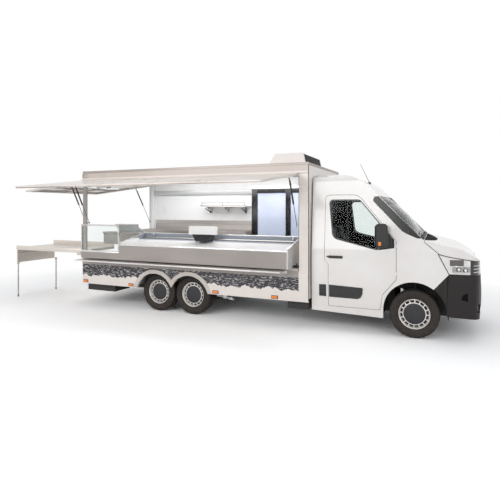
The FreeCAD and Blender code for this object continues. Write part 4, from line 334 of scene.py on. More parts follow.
def dress(surface, *node_names):
    """Gives CAD parts whose shape is right their finish."""
    for node_name in node_names:
        mesh = frame["nodes"][node_name].data
        mesh.materials.clear()
        mesh.materials.append(surface)


def variant(surface, name):
    """A copy of a surface, under a name of its own."""
    made = surface.copy()
    made.name = name
    return made


def lay_over(surface, gates, colour):
    """Lays a colour over a surface where every one of some gates is open."""
    tree = surface.node_tree
    mask = gates[0]
    for gate in gates[1:]:
        mask = add_node(tree, "Math", {0: mask, 1: gate}, operation="MULTIPLY")[0]
    base = tree.nodes["Principled BSDF"].inputs["Base Color"]
    layer = add_node(tree, "Mix", {"Factor": mask, "A": base.links[0].from_socket, "B": colour},
                     data_type="RGBA")
    tree.links.new(layer["Result"], base)


def drifting(surface, code, variation):
    """A colour that drifts to a darker tone with the surface's own noise."""
    drift = surface.node_tree.nodes["Noise Texture"].outputs["Fac"]
    shade = (*(channel * (1 - variation) for channel in tint(code)[:3]), 1)
    return add_node(surface.node_tree, "Mix", {"Factor": drift, "A": tint(code), "B": shade},
                    data_type="RGBA")["Result"]


def zone(surface, code, low=(None, None, None), high=(None, None, None), variation=0.10):
    """Gives another colour to the part of a surface that lies between two corners."""
    blur = 0.002
    tree = surface.node_tree
    axes = add_node(tree, "SeparateXYZ", {"Vector": add_node(tree, "TexCoord")["Object"]})
    gates = []
    for axis, *limits in zip("XYZ", low, high):
        for limit, sign in zip(limits, (1, -1)):
            if limit is not None:
                gates.append(add_node(tree, "MapRange", {"Value": axes[axis], "From Min": limit - blur * sign,
                                                         "From Max": limit + blur * sign})["Result"])
    lay_over(surface, gates, drifting(surface, code, variation))


dress(cab_white, "hood")

# Cab glass: laminated screen and toughened door panes, faintly green, bonded with a black edge band
cab_glass = finish("cab_glass", "F1F5F4", "EAF1EF", grain=2, rough=(0.0, 0.02), bump=0.0,
                   Transmission_Weight=1.0, IOR=1.13)
dress(cab_glass, "door_glass_right", "door_glass_left")
edge_black = finish("glass_edge_black", "141516", "0D0E0F", grain=40, rough=(0.12, 0.25), bump=0.02)
SCREEN_FACE = (0.721, 0, 0.693)


def cad_copy(node_name):
    """A CAD part's mesh as a shape of its own, its loose triangles joined."""
    shape = bmesh.new()
    shape.from_mesh(frame["nodes"][node_name].data)
    merge(shape)
    return shape


def rim_of(shape):
    """The edges that have a face on one side only."""
    return [edge for edge in shape.edges if edge.is_boundary]


def thicken(shape, away, wall):
    """Turns a thin sheet to face away, and gives it a wall behind that face."""
    outward(shape)
    if sum(face.normal.dot(away) for face in shape.faces) < 0:
        bmesh.ops.reverse_faces(shape, faces=shape.faces[:])
    shape.normal_update()
    bmesh.ops.solidify(shape, geom=shape.faces[:], thickness=-wall)
    outward(shape)


def edge_band(name, node, facing, width):
    """A printed band round a pane's edge, between its outline and the same outline drawn in."""
    proud, wall = 0.0008, 0.0015
    pane = cad_copy(node)
    away = Vector(facing).normalized()
    pane.normal_update()
    bmesh.ops.delete(pane, geom=[f for f in pane.faces if f.normal.dot(away) < 0.9], context="FACES")
    low = Vector([min(v.co[axis] for v in pane.verts) for axis in range(3)])
    high = Vector([max(v.co[axis] for v in pane.verts) for axis in range(3)])
    centre, half = (low + high) / 2, (high - low) / 2
    level = 0 if abs(away.y) > 0.5 else 1
    rise = sqrt(sum(half[axis] ** 2 for axis in range(3) if axis != level))
    shrink = [1 - width / (half[axis] if axis == level else rise) for axis in range(3)]
    shape = bmesh.new()
    for edge in rim_of(pane):
        outer = [vertex.co + away * proud for vertex in edge.verts]
        inner = [Vector([centre[axis] + (vertex.co[axis] - centre[axis]) * shrink[axis] for axis in range(3)])
                 + away * proud for vertex in edge.verts]
        shape.faces.new([shape.verts.new(corner) for corner in (outer[0], outer[1], inner[1], inner[0])])
    pane.free()
    merge(shape)
    thicken(shape, away, wall)
    return piece(name, shape, frame["nodes"][node]["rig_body"], edge_black)


def skin(shape, rows):
    """Joins rows of corners to a sheet of four-sided faces."""
    for near_row, far_row in zip(rows, rows[1:]):
        for part in range(len(near_row) - 1):
            shape.faces.new((near_row[part], near_row[part + 1], far_row[part + 1], far_row[part]))


edge_band("screen_edge", "windscreen", SCREEN_FACE, 0.055)
edge_band("door_edge_right", "door_glass_right", (0, -1, 0.098), 0.020)
edge_band("door_edge_left", "door_glass_left", (0, 1, 0.098), 0.020)

# Screen corners: the screen's black printed edge carries on round the corner as a dark glass cover
# bonded to the front of the roof pillar. It narrows towards both its ends.
RUNG_STEPS = 18
for side, out in SIDES:
    shape = bmesh.new()
    rows = []
    for step in range(RUNG_STEPS + 1):
        share = step / RUNG_STEPS
        edge_x, up = 0.092 - 0.607 * share, 1.452 + 0.612 * share
        wide = 0.165 - 0.035 * share
        if share > 0.9:
            wide *= 1 - 6.5 * (share - 0.9)
        if share < 0.14:
            wide *= 0.30 + 5 * share
        sections = [((edge_x - wide * (1 - part / 5), 1.3 * out, up), (0, -out, 0)) for part in range(6)]
        for turn in (30, 60):
            away = Vector((0.721 * sin(radians(turn)), out * cos(radians(turn)), 0.693 * sin(radians(turn))))
            corner_at = Vector((edge_x - 0.012, (0.930 - 0.06 * share) * out, up - 0.012))
            sections.append((tuple(corner_at + away * 0.3), tuple(-away)))
        sections += [((edge_x + 0.216, across * out, up + 0.208), (-0.721, 0, -0.693))
                     for across in (0.880 - 0.03 * share, 0.842)]
        row = []
        for start, toward in sections:
            start, toward = spot(*start), Vector(toward)
            hits = [frame["nodes"][node].ray_cast(start, toward) for node in ("cab_shell", "windscreen")]
            hits = [((hit[1] - start).length, hit[1]) for hit in hits if hit[0]]
            where = min(hits, key=lambda hit: hit[0])[1] if hits else start + toward * 0.3
            row.append(shape.verts.new(where - toward.normalized() * 0.0008))
        rows.append(row)
    skin(shape, rows)
    thicken(shape, Vector((0, out, 0)), 0.0035)
    piece(f"screen_corner_{side}", shape, "root", edge_black)

# Windscreen: bowed both ways between its straight edges, with a shade band along its top
SCREEN_HALF_WIDTH, SCREEN_MIDDLE_X, SCREEN_HALF_RUN, SCREEN_BOW = 0.886, -0.219, 0.297, 0.058


def screen_bow(where):
    """How far the screen's bowed face stands off the flat plane it is set in."""
    across = (where.y - DATUM_Y) / SCREEN_HALF_WIDTH
    along = (where.x - spot(SCREEN_MIDDLE_X, 0, 0).x) / SCREEN_HALF_RUN
    return SCREEN_BOW * max(0, 1 - across * across) * max(0, 1 - along * along)


def cut(shape, point, away, drop=True):
    """Cuts a shape along a plane, and with drop takes off what lies beyond it."""
    bmesh.ops.bisect_plane(shape, geom=shape.verts[:] + shape.edges[:] + shape.faces[:], plane_co=point,
                           plane_no=away, clear_outer=drop)


shape = cad_copy("windscreen")
bmesh.ops.dissolve_limit(shape, angle_limit=radians(2), verts=shape.verts[:], edges=shape.edges[:])
for step in range(1, 24):
    cut(shape, spot(0, -0.886 + step * 1.772 / 24, 0), (0, 1, 0), drop=False)
for step in range(1, 14):
    cut(shape, spot(-0.516 + step * 0.594 / 14, 0, 0), (1, 0, 0), drop=False)
for vertex in shape.verts:
    vertex.co += Vector(SCREEN_FACE) * screen_bow(vertex.co)
outward(shape)
screen_glass = variant(cab_glass, "screen_glass")
screen_glass.node_tree.nodes["Principled BSDF"].inputs["IOR"].default_value = 1.045
zone(screen_glass, "454C4B", low=(None, None, 1.945))
bowed_screen = piece("screen_pane", shape, "root", screen_glass, 50)
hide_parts("windscreen")

# Wiper tray and wipers: black moulded tray at the foot of the screen; two steel arms with rubber blades.
# The tray's cover runs on over the rear edge of the bonnet in a shallow bow.
trim_black = finish("moulded_black", "2A2A2B", "1E1E1F", grain=30, rough=(0.5, 0.68), bump=0.25,
                    bump_grain=900)


def panel(shape, low, high, round_off, rounds=2):
    """Adds a slab with eased edges between two corners and returns its vertices."""
    before = set(shape.verts)
    made = bmesh.ops.create_cube(shape, size=1.0)["verts"]
    bmesh.ops.scale(shape, vec=Vector(high) - Vector(low), verts=made)
    bmesh.ops.translate(shape, vec=(Vector(low) + Vector(high)) / 2, verts=made)
    edges = list({edge for vertex in made for edge in vertex.link_edges})
    bmesh.ops.bevel(shape, geom=edges, offset=round_off, segments=rounds, profile=0.5, affect="EDGES",
                    material=-1)
    return [vertex for vertex in shape.verts if vertex not in before]


def slab(shape, low, high, round_off, rounds=2, out=1):
    """Adds an eased slab, its corners given from the datum; out of -1 mirrors it to the right side."""
    near, far = sorted((low[1] * out, high[1] * out))
    return panel(shape, spot(low[0], near, low[2]), spot(high[0], far, high[2]), round_off, rounds)


def slab_piece(name, surface, slot, *slabs, body="root", out=1):
    """Makes a piece of eased slabs, each given as two corners, the easing and its steps."""
    shape = bmesh.new()
    for each in slabs:
        slab(shape, *each, out=out)
    return piece(name, shape, body, surface)


def bar(shape, start, end, radius, far_radius=None, sides=12):
    """Adds a round bar between two points and returns its vertices."""
    start, end = Vector(start), Vector(end)
    run = end - start
    turn = run.to_track_quat("Z", "Y").to_matrix().to_4x4()
    return bmesh.ops.create_cone(shape, cap_ends=True, segments=sides, radius1=radius,
                                 radius2=radius if far_radius is None else far_radius, depth=run.length,
                                 matrix=Matrix.Translation((start + end) / 2) @ turn)["verts"]


def tilt(shape, vertices, centre, degrees):
    """Turns part of a shape about a line across the truck."""
    bmesh.ops.rotate(shape, cent=centre, matrix=Matrix.Rotation(radians(degrees), 3, "Y"), verts=vertices)


shape = bmesh.new()
tray_body = slab(shape, (-0.028, -0.85, 0), (0.028, 0.85, 0.026), 0.008)
tilt(shape, tray_body, spot(0, 0, 0), 40)
bmesh.ops.translate(shape, vec=(0.098, 0, 1.438), verts=tray_body)
for across in (-0.62, -0.2, 0.2, 0.62):
    slot_row = slab(shape, (0.085, across - 0.15, 1.452), (0.11, across + 0.15, 1.464), 0.004)
    tilt(shape, slot_row, spot(0.098, 0, 1.458), 40)
piece("wiper_tray", shape, "root", trim_black)
shape = bmesh.new()
for root_y, tip_y in ((-0.66, 0.02), (0.10, 0.72)):
    pivot = spot(0.098, root_y, 1.474)
    bar(shape, pivot + Vector((0, 0, -0.03)), pivot + Vector((0.006, 0, 0.018)), 0.014, 0.011)
    bar(shape, pivot, spot(0.052, tip_y, 1.519), 0.008, 0.005)
    bar(shape, spot(0.060, root_y + 0.12, 1.505), spot(0.047, tip_y + 0.14, 1.520), 0.006, sides=8)
for vertex in shape.verts:
    vertex.co += Vector(SCREEN_FACE) * screen_bow(vertex.co)
piece("wipers", shape, "root", edge_black)
COWL_HALF, COWL_REAR, COWL_STEPS, COWL_PARTS = 0.84, 0.137, 28, 5
shape = bmesh.new()
rows = []
for step in range(COWL_STEPS + 1):
    across = -COWL_HALF + 0.06 * step
    front_x = 0.150 + 0.155 * (1 - (across / COWL_HALF) ** 2)
    row = []
    for part in range(COWL_PARTS + 1):
        start = spot(COWL_REAR + (front_x - COWL_REAR) * part / COWL_PARTS, across, 2.0)
        found, where, _, _ = frame["nodes"]["hood"].ray_cast(start, Vector((0, 0, -1)))
        if not found:
            where = Vector((start.x, start.y, 1.43))
        row.append(shape.verts.new(where + Vector((0, 0, 0.0006))))
    rows.append(row)
skin(shape, rows)
thicken(shape, Vector((0, 0, 1)), 0.003)
cowl_black = finish("cowl_black", "0F0F10", "0A0A0B", grain=30, rough=(0.75, 0.9), bump=0.1, bump_grain=900,
                    Specular_IOR_Level=0.1)
piece("hood_cowl", shape, "hood", cowl_black)

# Door mirrors: black moulded housings on a short arm and a sail plate in the window's corner,
# with a silvered main glass, a small wide glass below it and an amber repeater on the outer edge
mirror_silver = finish("mirror_silvering", "DADDE0", "D2D6DA", grain=3, rough=(0.02, 0.04), bump=0.0,
                       Metallic=1.0)
amber_lens = finish("amber_lens", "F28A1E", "DF6F12", grain=40, rough=(0.12, 0.22), bump=0.15, bump_grain=500,
                    Coat_Weight=0.5, Emission_Color=tint("F28A1E"), Emission_Strength=0.06)
clear_lens = finish("clear_lens", "EEF1F3", "E3E7EA", grain=25, rough=(0.02, 0.08), bump=0.1, bump_grain=350,
                    Transmission_Weight=0.9, IOR=1.45)
red_lens = finish("red_lens", "B3181B", "8E1013", grain=40, rough=(0.12, 0.22), bump=0.15, bump_grain=500,
                  Coat_Weight=0.5)
HEAD_REAR, HEAD_FOOT, HEAD_TALL, HEAD_DEEP = -0.520, 1.318, 0.344, 0.185


def close(shape):
    """Fills the openings that a cut has left."""
    bmesh.ops.holes_fill(shape, edges=rim_of(shape), sides=0)


for side, out in SIDES:
    node = f"mirror_{side}"
    body = frame["nodes"][node]["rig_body"]
    shape = cad_copy(node)
    cut(shape, spot(0, 0.992 * out, 0), (0, out, 0))
    close(shape)
    bmesh.ops.dissolve_limit(shape, angle_limit=radians(1), verts=shape.verts[:], edges=shape.edges[:])
    for vertex in slab(shape, (-0.520, 1.047, 1.318), (-0.335, 1.214, 1.662), 0.054, 6, out):
        rise = (vertex.co.z - HEAD_FOOT) / HEAD_TALL
        forward = (vertex.co.x - spot(HEAD_REAR, 0, 0).x) / HEAD_DEEP
        vertex.co.y += (spot(0, 1.131 * out, 0).y - vertex.co.y) * (0.10 * rise + 0.22 * forward * forward)
        vertex.co.x -= 0.016 * rise * forward
    for vertex in slab(shape, (-0.425, 0.972, 1.372), (-0.352, 1.085, 1.424), 0.018, 3, out):
        vertex.co.z += 0.035 * (abs(vertex.co.y - spot(0, 0, 0).y) - 0.972) / 0.113
    slab(shape, (-0.452, 0.968, 1.330), (-0.300, 1.012, 1.470), 0.018, 3, out)
    shell = piece(f"mirror_shell_{side}", shape, body, trim_black, 40)
    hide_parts(node)
    slab_piece(f"mirror_glass_{side}", mirror_silver, "glass",
               ((-0.5235, 1.068, 1.425), (-0.518, 1.192, 1.630), 0.0025, 1),
               ((-0.5235, 1.068, 1.352), (-0.518, 1.192, 1.415), 0.0025, 1), body=body, out=out)
    slab_piece(f"mirror_repeater_{side}", amber_lens, "lamp_lens",
               ((-0.470, 1.186, 1.346), (-0.430, 1.216, 1.402), 0.008, 3), body=body, out=out)

# Door furniture: black moulded pull handles with a lock barrel, and rubbing strips stuck along the lower
# flank on both sides of the shut line, the front one cut off at a slant


def lay_on(vertices, node, away, stand):
    """Carries flat outlines onto a curved panel, then leaves them a set height off it."""
    panel_part = frame["nodes"][node]
    away = Vector(away)
    for vertex in vertices:
        start = vertex.co + away * 3
        found, where, _, _ = panel_part.ray_cast(start, -away)
        if found:
            vertex.co += away * ((where - vertex.co).dot(away) + stand)


for side, out in SIDES:
    door = f"door_{side}"
    body = frame["nodes"][door]["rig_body"]
    for name, node, rides, points in (
            ("rub_strip_door", door, body, [(-1.236, 0.516), (-0.80, 0.512), (-0.755, 0.535), (-0.730, 0.592),
                                            (-0.722, 0.672), (-0.735, 0.686), (-1.236, 0.704)]),
            ("rub_strip_pillar", "cab_shell", "root", [(-1.392, 0.522), (-1.282, 0.518), (-1.282, 0.704),
                                                       (-1.392, 0.700)])):
        shape = bmesh.new()
        face = shape.faces.new([shape.verts.new(spot(x, 1.2 * out, z)) for x, z in points])
        bmesh.ops.triangulate(shape, faces=[face])
        bmesh.ops.subdivide_edges(shape, edges=shape.edges[:], cuts=2, use_grid_fill=True)
        lay_on(shape.verts[:], node, (0, out, 0), 0.0)
        outward(shape)
        shape.normal_update()
        if sum(f.normal.y for f in shape.faces) * out < 0:
            bmesh.ops.reverse_faces(shape, faces=shape.faces[:])
        top = bmesh.ops.extrude_face_region(shape, geom=shape.faces[:])["geom"]
        raised = [g for g in top if isinstance(g, bmesh.types.BMVert)]
        bmesh.ops.translate(shape, vec=(0, 0.011 * out, 0), verts=raised)
        outward(shape)
        strip = piece(f"{name}_{side}", shape, rides, trim_black)
        ease = strip.modifiers.new("eased_edge", "BEVEL")
        ease.width = 0.004
        ease.segments = 2
        ease.angle_limit = radians(50)
    shape = bmesh.new()
    handle = slab(shape, (-1.244, 1.0, 1.116), (-1.024, 1.016, 1.156), 0.009, 3, out)
    bmesh.ops.translate(shape, vec=(0, 0.006 * -out, 0), verts=handle)
    for foot_x in (-1.232, -1.066):
        slab(shape, (foot_x, 0.974, 1.120), (foot_x + 0.030, 1.004, 1.156), 0.006, 2, out)
    bar(shape, spot(-1.262, 0.978 * out, 1.138), spot(-1.262, 0.992 * out, 1.138), 0.013, 0.012, 20)
    piece(f"door_handle_{side}", shape, body, trim_black)

# Aerial: a raked whip of black plastic-covered wire on a rubber foot, on the cab roof's front slope
aerial_top = frame["nodes"]["cab_shell"].ray_cast(spot(-0.76, 0, 4), (0, 0, -1))[1]
whip_foot, whip = aerial_top + Vector((-0.010, 0, 0.02)), Vector((-0.155, 0, 0.325))
shape = bmesh.new()
bar(shape, aerial_top - Vector((0, 0, 0.012)), aerial_top + Vector((-0.012, 0, 0.028)), 0.026, 0.013, 24)
bar(shape, whip_foot, aerial_top + Vector((-0.165, 0, 0.345)), 0.0042, 0.0022, 8)
for turn in range(14):
    low = whip_foot + whip * (0.1 + turn * 0.06)
    bar(shape, low, low + whip.normalized() * 0.004, 0.0050, sides=8)
piece("aerial", shape, "root", trim_black)

# Head lamps: a pale plated bowl, darker to the front and with a grey block, two bright projectors in dark
# housings, three white running-light blades and a thin black surround
lamp_bowl = finish("lamp_bowl", "E6E4E2", "D2CFCC", grain=7, rough=(0.10, 0.2), bump=0.03, Metallic=0.25,
                   Coat_Weight=0.8, Coat_Roughness=0.03)
for code, rear_x, front_x, foot_z, top_z in (("17181A", 0.735, None, None, None),
                                             ("5C5754", 0.470, 0.650, 1.075, 1.160),
                                             ("A9A6A3", 0.500, 0.735, 0.985, 1.062)):
    zone(lamp_bowl, code, low=(spot(rear_x, 0, 0).x, None, foot_z),
         high=(front_x and spot(front_x, 0, 0).x, None, top_z), variation=0.2)
chrome = finish("bright_plating", "E8E9EA", "DBDCDE", grain=4, rough=(0.04, 0.10), bump=0.0, Metallic=1.0)
dress(lamp_bowl, "headlamps")


def surface_out(node_name, start, away):
    """Where a ray from outside meets a CAD part, and which way its face looks there."""
    away = Vector(away).normalized()
    found, where, normal, _ = frame["nodes"][node_name].ray_cast(Vector(start) + away * 3, -away)
    return (where, normal) if found else (Vector(start), away)


def stand_on_lamp(along, up, out):
    """The place of a thing on the head lamp's face, its own Z standing out of it."""
    where, normal = surface_out("headlamps", spot(along, 0.80 * out, up), (0.35, 0.93 * out, 0.05))
    return Matrix.Translation(where) @ normal.to_track_quat("Z", "Y").to_matrix().to_4x4()


for side, out in SIDES:
    shape = cad_copy("headlamps")
    other_side = [f for f in shape.faces if (f.calc_center_median().y - DATUM_Y) * out < 0]
    bmesh.ops.delete(shape, geom=other_side, context="FACES")
    shape.normal_update()
    look = Vector((0.55, 0.80 * out, 0.10)).normalized()
    bmesh.ops.delete(shape, geom=[f for f in shape.faces if f.normal.dot(look) < 0.28], context="FACES")
    surround = bmesh.new()
    for edge in rim_of(shape):
        bar(surround, edge.verts[0].co + look * 0.001, edge.verts[1].co + look * 0.001, 0.0060, sides=6)
    piece(f"lamp_surround_{side}", surround, "root", edge_black)
    shape.free()
    shape = bmesh.new()
    bright = bmesh.new()
    for along, up, size in ((0.540, 1.020, 0.027), (0.640, 1.010, 0.027)):
        place = stand_on_lamp(along, up, out)
        housing = panel(shape, (-size * 1.12, -size * 0.92, -0.004), (size * 1.12, size * 0.92, 0.004), 0.003)
        bmesh.ops.transform(shape, matrix=place, verts=housing)
        for reach, rise in ((0.80, 0.009), (0.55, 0.013)):
            bmesh.ops.create_cone(bright, cap_ends=True, segments=32, radius1=size * reach,
                                  radius2=size * reach * 0.86, depth=rise,
                                  matrix=place @ Matrix.Translation((0, 0, 0.002 + rise / 2)))
        dome = place @ Matrix.Translation((0, 0, 0.004)) @ Matrix.Diagonal((1, 1, 0.55, 1))
        bmesh.ops.create_uvsphere(bright, u_segments=24, v_segments=12, radius=size * 0.40, matrix=dome)
    piece(f"lamp_housing_{side}", shape, "root", edge_black)
    piece(f"lamp_projector_{side}", bright, "root", chrome)
    shape = bmesh.new()
    for along, up, length in ((0.500, 1.066, 0.060), (0.585, 1.058, 0.070), (0.665, 1.050, 0.070)):
        blade = panel(shape, (-length / 2, -0.010, -0.002), (length / 2, 0.010, 0.007), 0.003)
        bmesh.ops.transform(shape, matrix=stand_on_lamp(along, up, out), verts=blade)
    piece(f"running_light_{side}", shape, "root", clear_lens)

# Grille: black moulded frame with four bright bars laid on its ribs, carried on round the corners
dress(trim_black, "front_grille")
shape = bmesh.new()
for row in range(4):
    height = 0.8722 + row * 0.048
    rib_x = surface_out("front_grille", spot(1.2, 0, height), (1, 0, 0))[0].x - DATUM_X
    slab(shape, (rib_x - 0.006, -0.405, height - 0.006), (rib_x + 0.005, 0.405, height + 0.006), 0.003)
piece("grille_bars", shape, "root", chrome)
for side, out in SIDES:
    shape = bmesh.new()
    for up in (0.985, 1.030, 1.075):
        starts = [spot(0.765 + 0.022 * step, (0.815 - 0.016 * step) * out, up) for step in range(6)]
        spots = [surface_out("headlamps", start, (0.75, 0.66 * out, 0))[0] for start in starts]
        for first, last in zip(spots, spots[1:]):
            bar(shape, first, last, 0.0050, sides=8)
    piece(f"grille_corner_bars_{side}", shape, "root", chrome)

# Bumper: dark grey grained plastic, its lower edge cut; it carries two fog lamps, slats across the low
# air intake, dark pockets at its corners and a blank number plate in a thin frame
bumper_grey = finish("bumper_plastic", "1F1A1A", "191515", grain=3, rough=(0.50, 0.60), bump=0.10,
                     bump_grain=1100,
                     dust=(0.2, 0.55, 0.10, "423B37"), Specular_IOR_Level=0.30)
shape = cad_copy("front_bumper")
bmesh.ops.dissolve_limit(shape, angle_limit=radians(1), verts=shape.verts[:], edges=shape.edges[:])
bmesh.ops.triangulate(shape, faces=shape.faces[:])
cut(shape, spot(0.50, 0, 0.352), (-0.11, 0, -1))
close(shape)
bumper_skin = piece("bumper_skin", shape, "root", bumper_grey)
for side, out in SIDES:
    shape = bmesh.new()
    outline = ((0.930, 0.600), (1.050, 0.574), (1.050, 0.692), (0.965, 0.668))
    face = shape.faces.new([shape.verts.new(spot(x, 1.3 * out, z)) for x, z in outline])
    bmesh.ops.triangulate(shape, faces=[face])
    bmesh.ops.subdivide_edges(shape, edges=shape.edges[:], cuts=4, use_grid_fill=True)
    lay_on(shape.verts, "front_bumper", (0.62, 0.785 * out, 0), 0.0004)
    thicken(shape, Vector((0, out, 0)), 0.002)
    piece(f"bumper_pocket_{side}", shape, "root", cowl_black)
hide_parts("front_bumper")
shape = bmesh.new()
for row in range(6):
    slab(shape, (0.845, -0.425, 0.348 + row * 0.038), (0.884, 0.425, 0.360 + row * 0.038), 0.004)
for across in (-0.28, -0.14, 0.0, 0.14, 0.28):
    slab(shape, (0.840, across - 0.006, 0.335), (0.872, across + 0.006, 0.556), 0.003, 1)
piece("intake_slats", shape, "root", trim_black)
fog_outline = [(0.0005, 0.0), (0.030, -0.003), (0.044, -0.010), (0.050, -0.016), (0.058, -0.014),
               (0.062, -0.004), (0.060, 0.022), (0.0005, 0.024)]
for side, out in SIDES:
    shape = turned(fog_outline, 40)
    bmesh.ops.rotate(shape, cent=(0, 0, 0), matrix=Matrix.Rotation(radians(90), 3, "Z"), verts=shape.verts[:])
    move(shape, spot(0.800 - min(v.co.x for v in shape.verts), 0.655 * out, 0.462))
    piece(f"fog_lamp_{side}", shape, "root", clear_lens)
    slab_piece(f"fog_bezel_{side}", trim_black, "black_plastic",
               ((0.756, 0.562, 0.402), (0.800, 0.758, 0.518), 0.006, 2), out=out)
plate_white = finish("blank_plate", "F1F1EE", "E7E7E3", grain=30, rough=(0.3, 0.42), bump=0.06,
                     bump_grain=300)
slab_piece("front_plate_frame", trim_black, "black_plastic",
           ((0.896, -0.268, 0.618), (0.906, 0.268, 0.742), 0.004, 2))
slab_piece("front_plate", plate_white, "white_plastic",
           ((0.904, -0.260, 0.626), (0.9085, 0.260, 0.734), 0.0018, 1))

# Running gear: black coated chassis and axles, cast steering knuckles, bare grey engine,
# black fibre arch liners
frame_black = finish("chassis_coating", "262626", "161616", grain=8, rough=(0.5, 0.75), bump=0.15,
                     bump_grain=300,
                     dust=(0.1, 0.5, 0.35, "5C5048"))
dress(frame_black, "chassis_frame", "rear_axles", "front_suspension", "arch_liners")
cast_grey = finish("cast_iron_skin", "6B6764", "54504D", grain=26, rough=(0.6, 0.8), bump=0.4, bump_grain=420,
                   Metallic=0.6)
dress(cast_grey, "knuckle_right", "knuckle_left", "engine_block")
SHIELD_STEPS, shield_sweep = 18, radians(31)
for side, out in SIDES:
    shape = bmesh.new()
    for start in (-13, 162):
        outline = [(0.457, 0.510), (0.457, 0.905), (0.461, 0.905), (0.461, 0.510)]
        points = [shape.verts.new((radius * cos(radians(start)), along * out, radius * sin(radians(start))))
                  for radius, along in outline]
        runs = [shape.edges.new((points[i], points[(i + 1) % 4])) for i in range(4)]
        bmesh.ops.spin(shape, geom=points + runs + [shape.faces.new(points)], cent=(0, 0, 0), axis=(0, -1, 0),
                       dvec=(0, 0, 0), angle=shield_sweep, steps=SHIELD_STEPS, use_merge=False)
    merge(shape)
    outward(shape)
    move(shape, spot(0, 0, 0.388))
    for start_x, end_x, start_z, end_z in ((-0.450, -0.300, 0.270, 0.70), (0.300, 0.450, 0.270, 0.70),
                                           (-0.310, 0.310, 0.640, 0.845)):
        slab(shape, (start_x, 0.496, start_z), (end_x, 0.508, end_z), 0.003, 1, out)
    piece(f"arch_shield_{side}", shape, "root", frame_black)
shape = bmesh.new()
for rear_end, length in ((-5.98, 0.54), (-1.87, 0.28)):
    for row in range(2):
        panel(shape, spot(rear_end, -1.014, 0.312 + row * 0.052),
              spot(rear_end + length, -1.004, 0.330 + row * 0.052),
              0.004, 2)
    for along in (rear_end + 0.06, rear_end + length - 0.08):
        slab(shape, (along, -1.016, 0.352), (along + 0.024, -1.004, 0.392), 0.003, 2)
piece("under_box_latches", shape, "root", frame_black)

# Corner steady: a folding jack of zinc-plated steel bolted under the floor ahead of the wheels
zinc = finish("zinc_plated_steel", "C2C3C2", "94928F", grain=20, rough=(0.3, 0.5), bump=0.12, bump_grain=260,
              Metallic=0.85)
shape = bmesh.new()
slab(shape, (-3.20, -0.96, 0.392), (-2.90, -0.86, 0.414), 0.004, 2)
bar(shape, spot(-3.19, -0.91, 0.372), spot(-2.93, -0.91, 0.330), 0.020, 0.020, 16)
bar(shape, spot(-3.19, -0.955, 0.375), spot(-3.19, -0.865, 0.375), 0.016, 0.016, 16)
bar(shape, spot(-2.93, -0.955, 0.345), spot(-2.93, -0.865, 0.345), 0.024, 0.024, 16)
slab(shape, (-2.975, -0.950, 0.318), (-2.885, -0.870, 0.330), 0.004, 2)
slab(shape, (-3.10, -0.935, 0.330), (-3.02, -0.885, 0.400), 0.004, 2)
piece("corner_steady", shape, "root", zinc)

# Sales body: glass-fibre faced sandwich panels in warm white. Below the counter runs a band painted grey
# as shade under the bag shelf, then a printed band of black brush strokes on white whose lower edge is left
# ragged; pale panels ring the wheel arches and break the print.
body_cream = finish("body_panel_gelcoat", "F2EAE4", "EBE2DB", grain=1.2, rough=(0.22, 0.34), bump=0.015,
                    bump_grain=500, dust=(0.35, 0.9, 0.22, "B5A89E"), Coat_Weight=0.3)
inner_white = finish("inner_panel_white", "EEF0F1", "E6E9EA", grain=1.4, rough=(0.30, 0.42), bump=0.03,
                     bump_grain=350)
strip_grey = finish("anodised_grey", "BDB5AF", "A9A19B", grain=3, stretch=(0.3, 6, 6), rough=(0.32, 0.45),
                    bump=0.06,
                    bump_grain=90, Metallic=0.55)

# The print is drawn by two stretched noises: long strokes, and a ragged lower edge
PRINT_FRONT, PRINT_TOP = spot(-1.690, 0, 0).x, 0.797
side_print = variant(body_cream, "body_side_print")
tree = side_print.node_tree
place = add_node(tree, "TexCoord")["Object"]
axes = add_node(tree, "SeparateXYZ", {"Vector": place})
stroke_place = add_node(tree, "Mapping", {"Scale": (17.0, 1.0, 120.0), "Vector": place})["Vector"]
strokes = add_node(tree, "TexNoise", {"Scale": 1.0, "Detail": 4.0, "Roughness": 0.62, "Vector": stroke_place})
ink = ramp(tree, strokes["Fac"], (0.572, "1B151F"), (0.612, "E9E4E4"))
edge_place = add_node(tree, "Mapping", {"Scale": (9.0, 1.0, 1.0), "Vector": place})["Vector"]
ragged = add_node(tree, "TexNoise", {"Scale": 1.0, "Detail": 5.0, "Vector": edge_place})["Fac"]
print_foot = add_node(tree, "MapRange", {"Value": ragged, "From Min": 0.3, "From Max": 0.7, "To Min": 0.555,
                                         "To Max": 0.635})["Result"]
above = add_node(tree, "Math", {0: axes["Z"], 1: print_foot}, operation="GREATER_THAN")[0]
below = add_node(tree, "Math", {0: axes["Z"], 1: PRINT_TOP}, operation="LESS_THAN")[0]
behind = add_node(tree, "Math", {0: axes["X"], 1: PRINT_FRONT}, operation="LESS_THAN")[0]
lay_over(side_print, [above, below, behind], ink)
# Painted shade: the band between the counter and the print, under the bag shelf, is coloured grey.
zone(side_print, "A69E98", low=(None, None, PRINT_TOP), high=(PRINT_FRONT, None, 0.905))
dress(side_print, "side_panel")
left_side = variant(body_cream, "body_left_wall")
zone(left_side, "ECEEEF", high=(None, spot(0, 1.099, 0).y, None), variation=0.03)
dress(left_side, "left_wall")
front_side = variant(body_cream, "body_front_wall")
zone(front_side, "1C1D1F", low=tuple(spot(-1.560, -0.83, 0.40)), high=(None, spot(0, 0.83, 0).y, 2.30),
     variation=0.2)
dress(front_side, "front_wall")
dress(variant(body_cream, "body_tail_panel"), "rear_panel")
dress(variant(body_cream, "body_roof_skin"), "roof")

